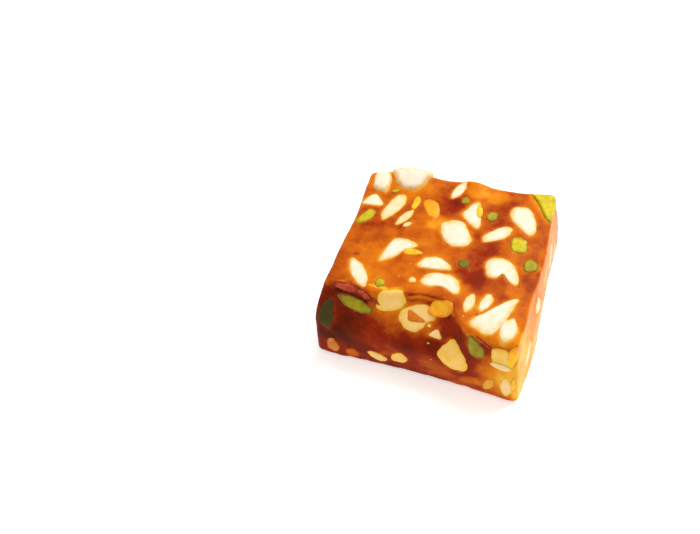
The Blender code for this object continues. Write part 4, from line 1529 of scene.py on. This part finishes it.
@dataclass
class PhotoCamera:
    """A camera at the photograph's place and angle."""

    azimuth: float = 23.64
    elevation: float = 50.60
    roll: float = -7.20
    focal_pixels: float = 1100.3
    frame_width: float = 700.0
    sensor: float = 36.0
    distance: float = 292.19
    aside: float = 23.62
    above: float = -1.87
    target: tuple[float, float, float] = (0.0, 0.0, 11.0)
    clip_start: float = 0.01

    def build(self, shift: np.ndarray) -> bpy.types.Object:
        """Make the camera and set it as the scene's.

        Args:
            shift: from the block's own frame to the part's frame, in millimetres.

        Returns:
            The camera object.
        """
        azimuth, elevation, roll = map(math.radians, (self.azimuth, self.elevation, self.roll))
        flat = math.cos(elevation)
        back = Vector((math.sin(azimuth) * flat, -math.cos(azimuth) * flat, math.sin(elevation)))
        level = Vector((math.cos(azimuth), math.sin(azimuth), 0.0))
        upright = back.cross(level)
        right = level * math.cos(roll) + upright * math.sin(roll)
        up = upright * math.cos(roll) - level * math.sin(roll)
        place = Vector(self.target) - right * self.aside - up * self.above + back * self.distance
        place = (place + Vector(shift)) * METRES
        lens = bpy.data.cameras.new("photo_camera")
        lens.sensor_width = self.sensor
        lens.lens = self.focal_pixels * self.sensor / self.frame_width
        lens.clip_start = self.clip_start
        camera = stand("photo_camera", lens)
        camera.matrix_world = Matrix((*zip(right, up, back, place), (0, 0, 0, 1)))
        bpy.context.scene.camera = camera
        return camera


@dataclass(frozen=True)
class Softbox:
    """A square studio light that faces the block."""

    name: str
    place: tuple[float, float, float]
    size: float
    watts: float
    colour: Colour
    target: tuple[float, float, float] = (0.0, 0.0, 0.01)

    def build(self) -> bpy.types.Object:
        """Make the light.

        Returns:
            The light's object.
        """
        lamp = bpy.data.lights.new(self.name, "AREA")
        lamp.size = self.size
        lamp.energy = self.watts
        lamp.color = self.colour
        light = stand(self.name, lamp)
        light.location = self.place
        toward = Vector(self.target) - Vector(self.place)
        light.rotation_euler = toward.to_track_quat("-Z", "Y").to_euler()
        return light


@dataclass
class Studio:
    """Plain pale floor, white surroundings and softboxes."""

    floor_size: float = 3.0
    floor_colour: Colour = (0.93, 0.93, 0.93)
    floor_roughness: float = 0.7
    floor_light: Colour = (1.0, 0.94, 0.88)
    floor_glow: float = 0.4
    surroundings: float = 0.62
    lights: tuple[Softbox, ...] = (
        Softbox("key", (0.14, 0.30, 0.44), 0.36, 2.7, (1.0, 0.96, 0.90)),
        Softbox("fill", (-0.35, -0.25, 0.45), 0.40, 0.5, (1.0, 0.97, 0.93)),
    )

    def build(self) -> None:
        """Make the floor, the surroundings and the lights."""
        half = self.floor_size / 2
        mesh = bpy.data.meshes.new("floor")
        corners = [(-half, -half, 0), (half, -half, 0), (half, half, 0), (-half, half, 0)]
        mesh.from_pydata(corners, [], [(0, 1, 2, 3)])
        floor = stand("floor", mesh)
        material = bpy.data.materials.new("floor")
        material.use_nodes = True
        set_inputs(material.node_tree.nodes["Principled BSDF"], Base_Color=(*self.floor_colour, 1.0),
                   Roughness=self.floor_roughness, Emission_Color=(*self.floor_light, 1.0),
                   Emission_Strength=self.floor_glow)
        mesh.materials.append(material)
        world = bpy.data.worlds.new("studio")
        world.use_nodes = True
        backdrop = world.node_tree.nodes["Background"]
        set_inputs(backdrop, Color=(1.0, 1.0, 1.0, 1.0), Strength=self.surroundings)
        bpy.context.scene.world = world
        for light in self.lights:
            light.build()
        bpy.context.scene.view_settings.view_transform = "Standard"


NUT_TREE_SIDES = 24
CUT_SIDES = 44
ROUGH_SHELL = (3.0, 2)


def nut_tree(shape: BlockShape) -> BVHTree:
    """Gather every nut body for finding how near one is behind the surface.

    Args:
        shape: the block they sit in.

    Returns:
        A tree of their faces.
    """
    parts = MeshParts()
    for phase, nut in numbered(CUT_NUTS, CUT_PHASES) + numbered(SUNK_NUTS, LOOSE_PHASES):
        points, faces, _ = nut.body(shape, phase, NUT_TREE_SIDES)
        parts.add(points, faces)
    return BVHTree.FromPolygons(np.concatenate(parts.vertices).tolist(), parts.faces)


def main() -> None:
    """Build the block's pieces, the camera and the studio."""
    logging.basicConfig(level=logging.INFO, format="%(name)s: %(message)s")
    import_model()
    shape = BlockShape()
    shell, _ = shape.shell(*ROUGH_SHELL)
    low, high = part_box("halwa_block")
    middle = (np.array(low) + np.array(high)) / 2 / METRES
    shift = middle - (shell.min(axis=0) + shell.max(axis=0)) / 2
    shift[2] = 0.0
    cut = numbered(CUT_NUTS + CHIPS, CUT_PHASES)
    for stuff, finish in ((Stuff.CASHEW, CASHEW), (Stuff.PISTACHIO, PISTACHIO), (Stuff.SKIN, SKIN)):
        nuts = [(phase, nut) for phase, nut in cut if nut.stuff is stuff]
        Pieces(f"{stuff.value}_pieces", nuts, finish, finish.name, shape, shift, CUT_SIDES).build()
    sunk, amber = numbered(SUNK_NUTS, LOOSE_PHASES), numbered(AMBER_PIECES, LOOSE_PHASES)
    Pieces("buried_pieces", sunk, BURIED, "cashew_flesh", shape, shift).build()
    Pieces("amber_pieces", amber, AMBER, "halwa_jelly", shape, shift).build()
    jelly = JellyBlock(shape, shift).build(nut_tree(shape))
    Scatter("dark_specks", 0.004, 0.08, 0.24, DARK_SPECK, "pistachio_skin", 3).build(jelly)
    Scatter("pale_specks", 0.007, 0.08, 0.22, PALE_SPECK, "cashew_flesh", 11).build(jelly)
    PhotoCamera().build(shift)
    Studio().build()


if __name__ == "__main__":
    main()
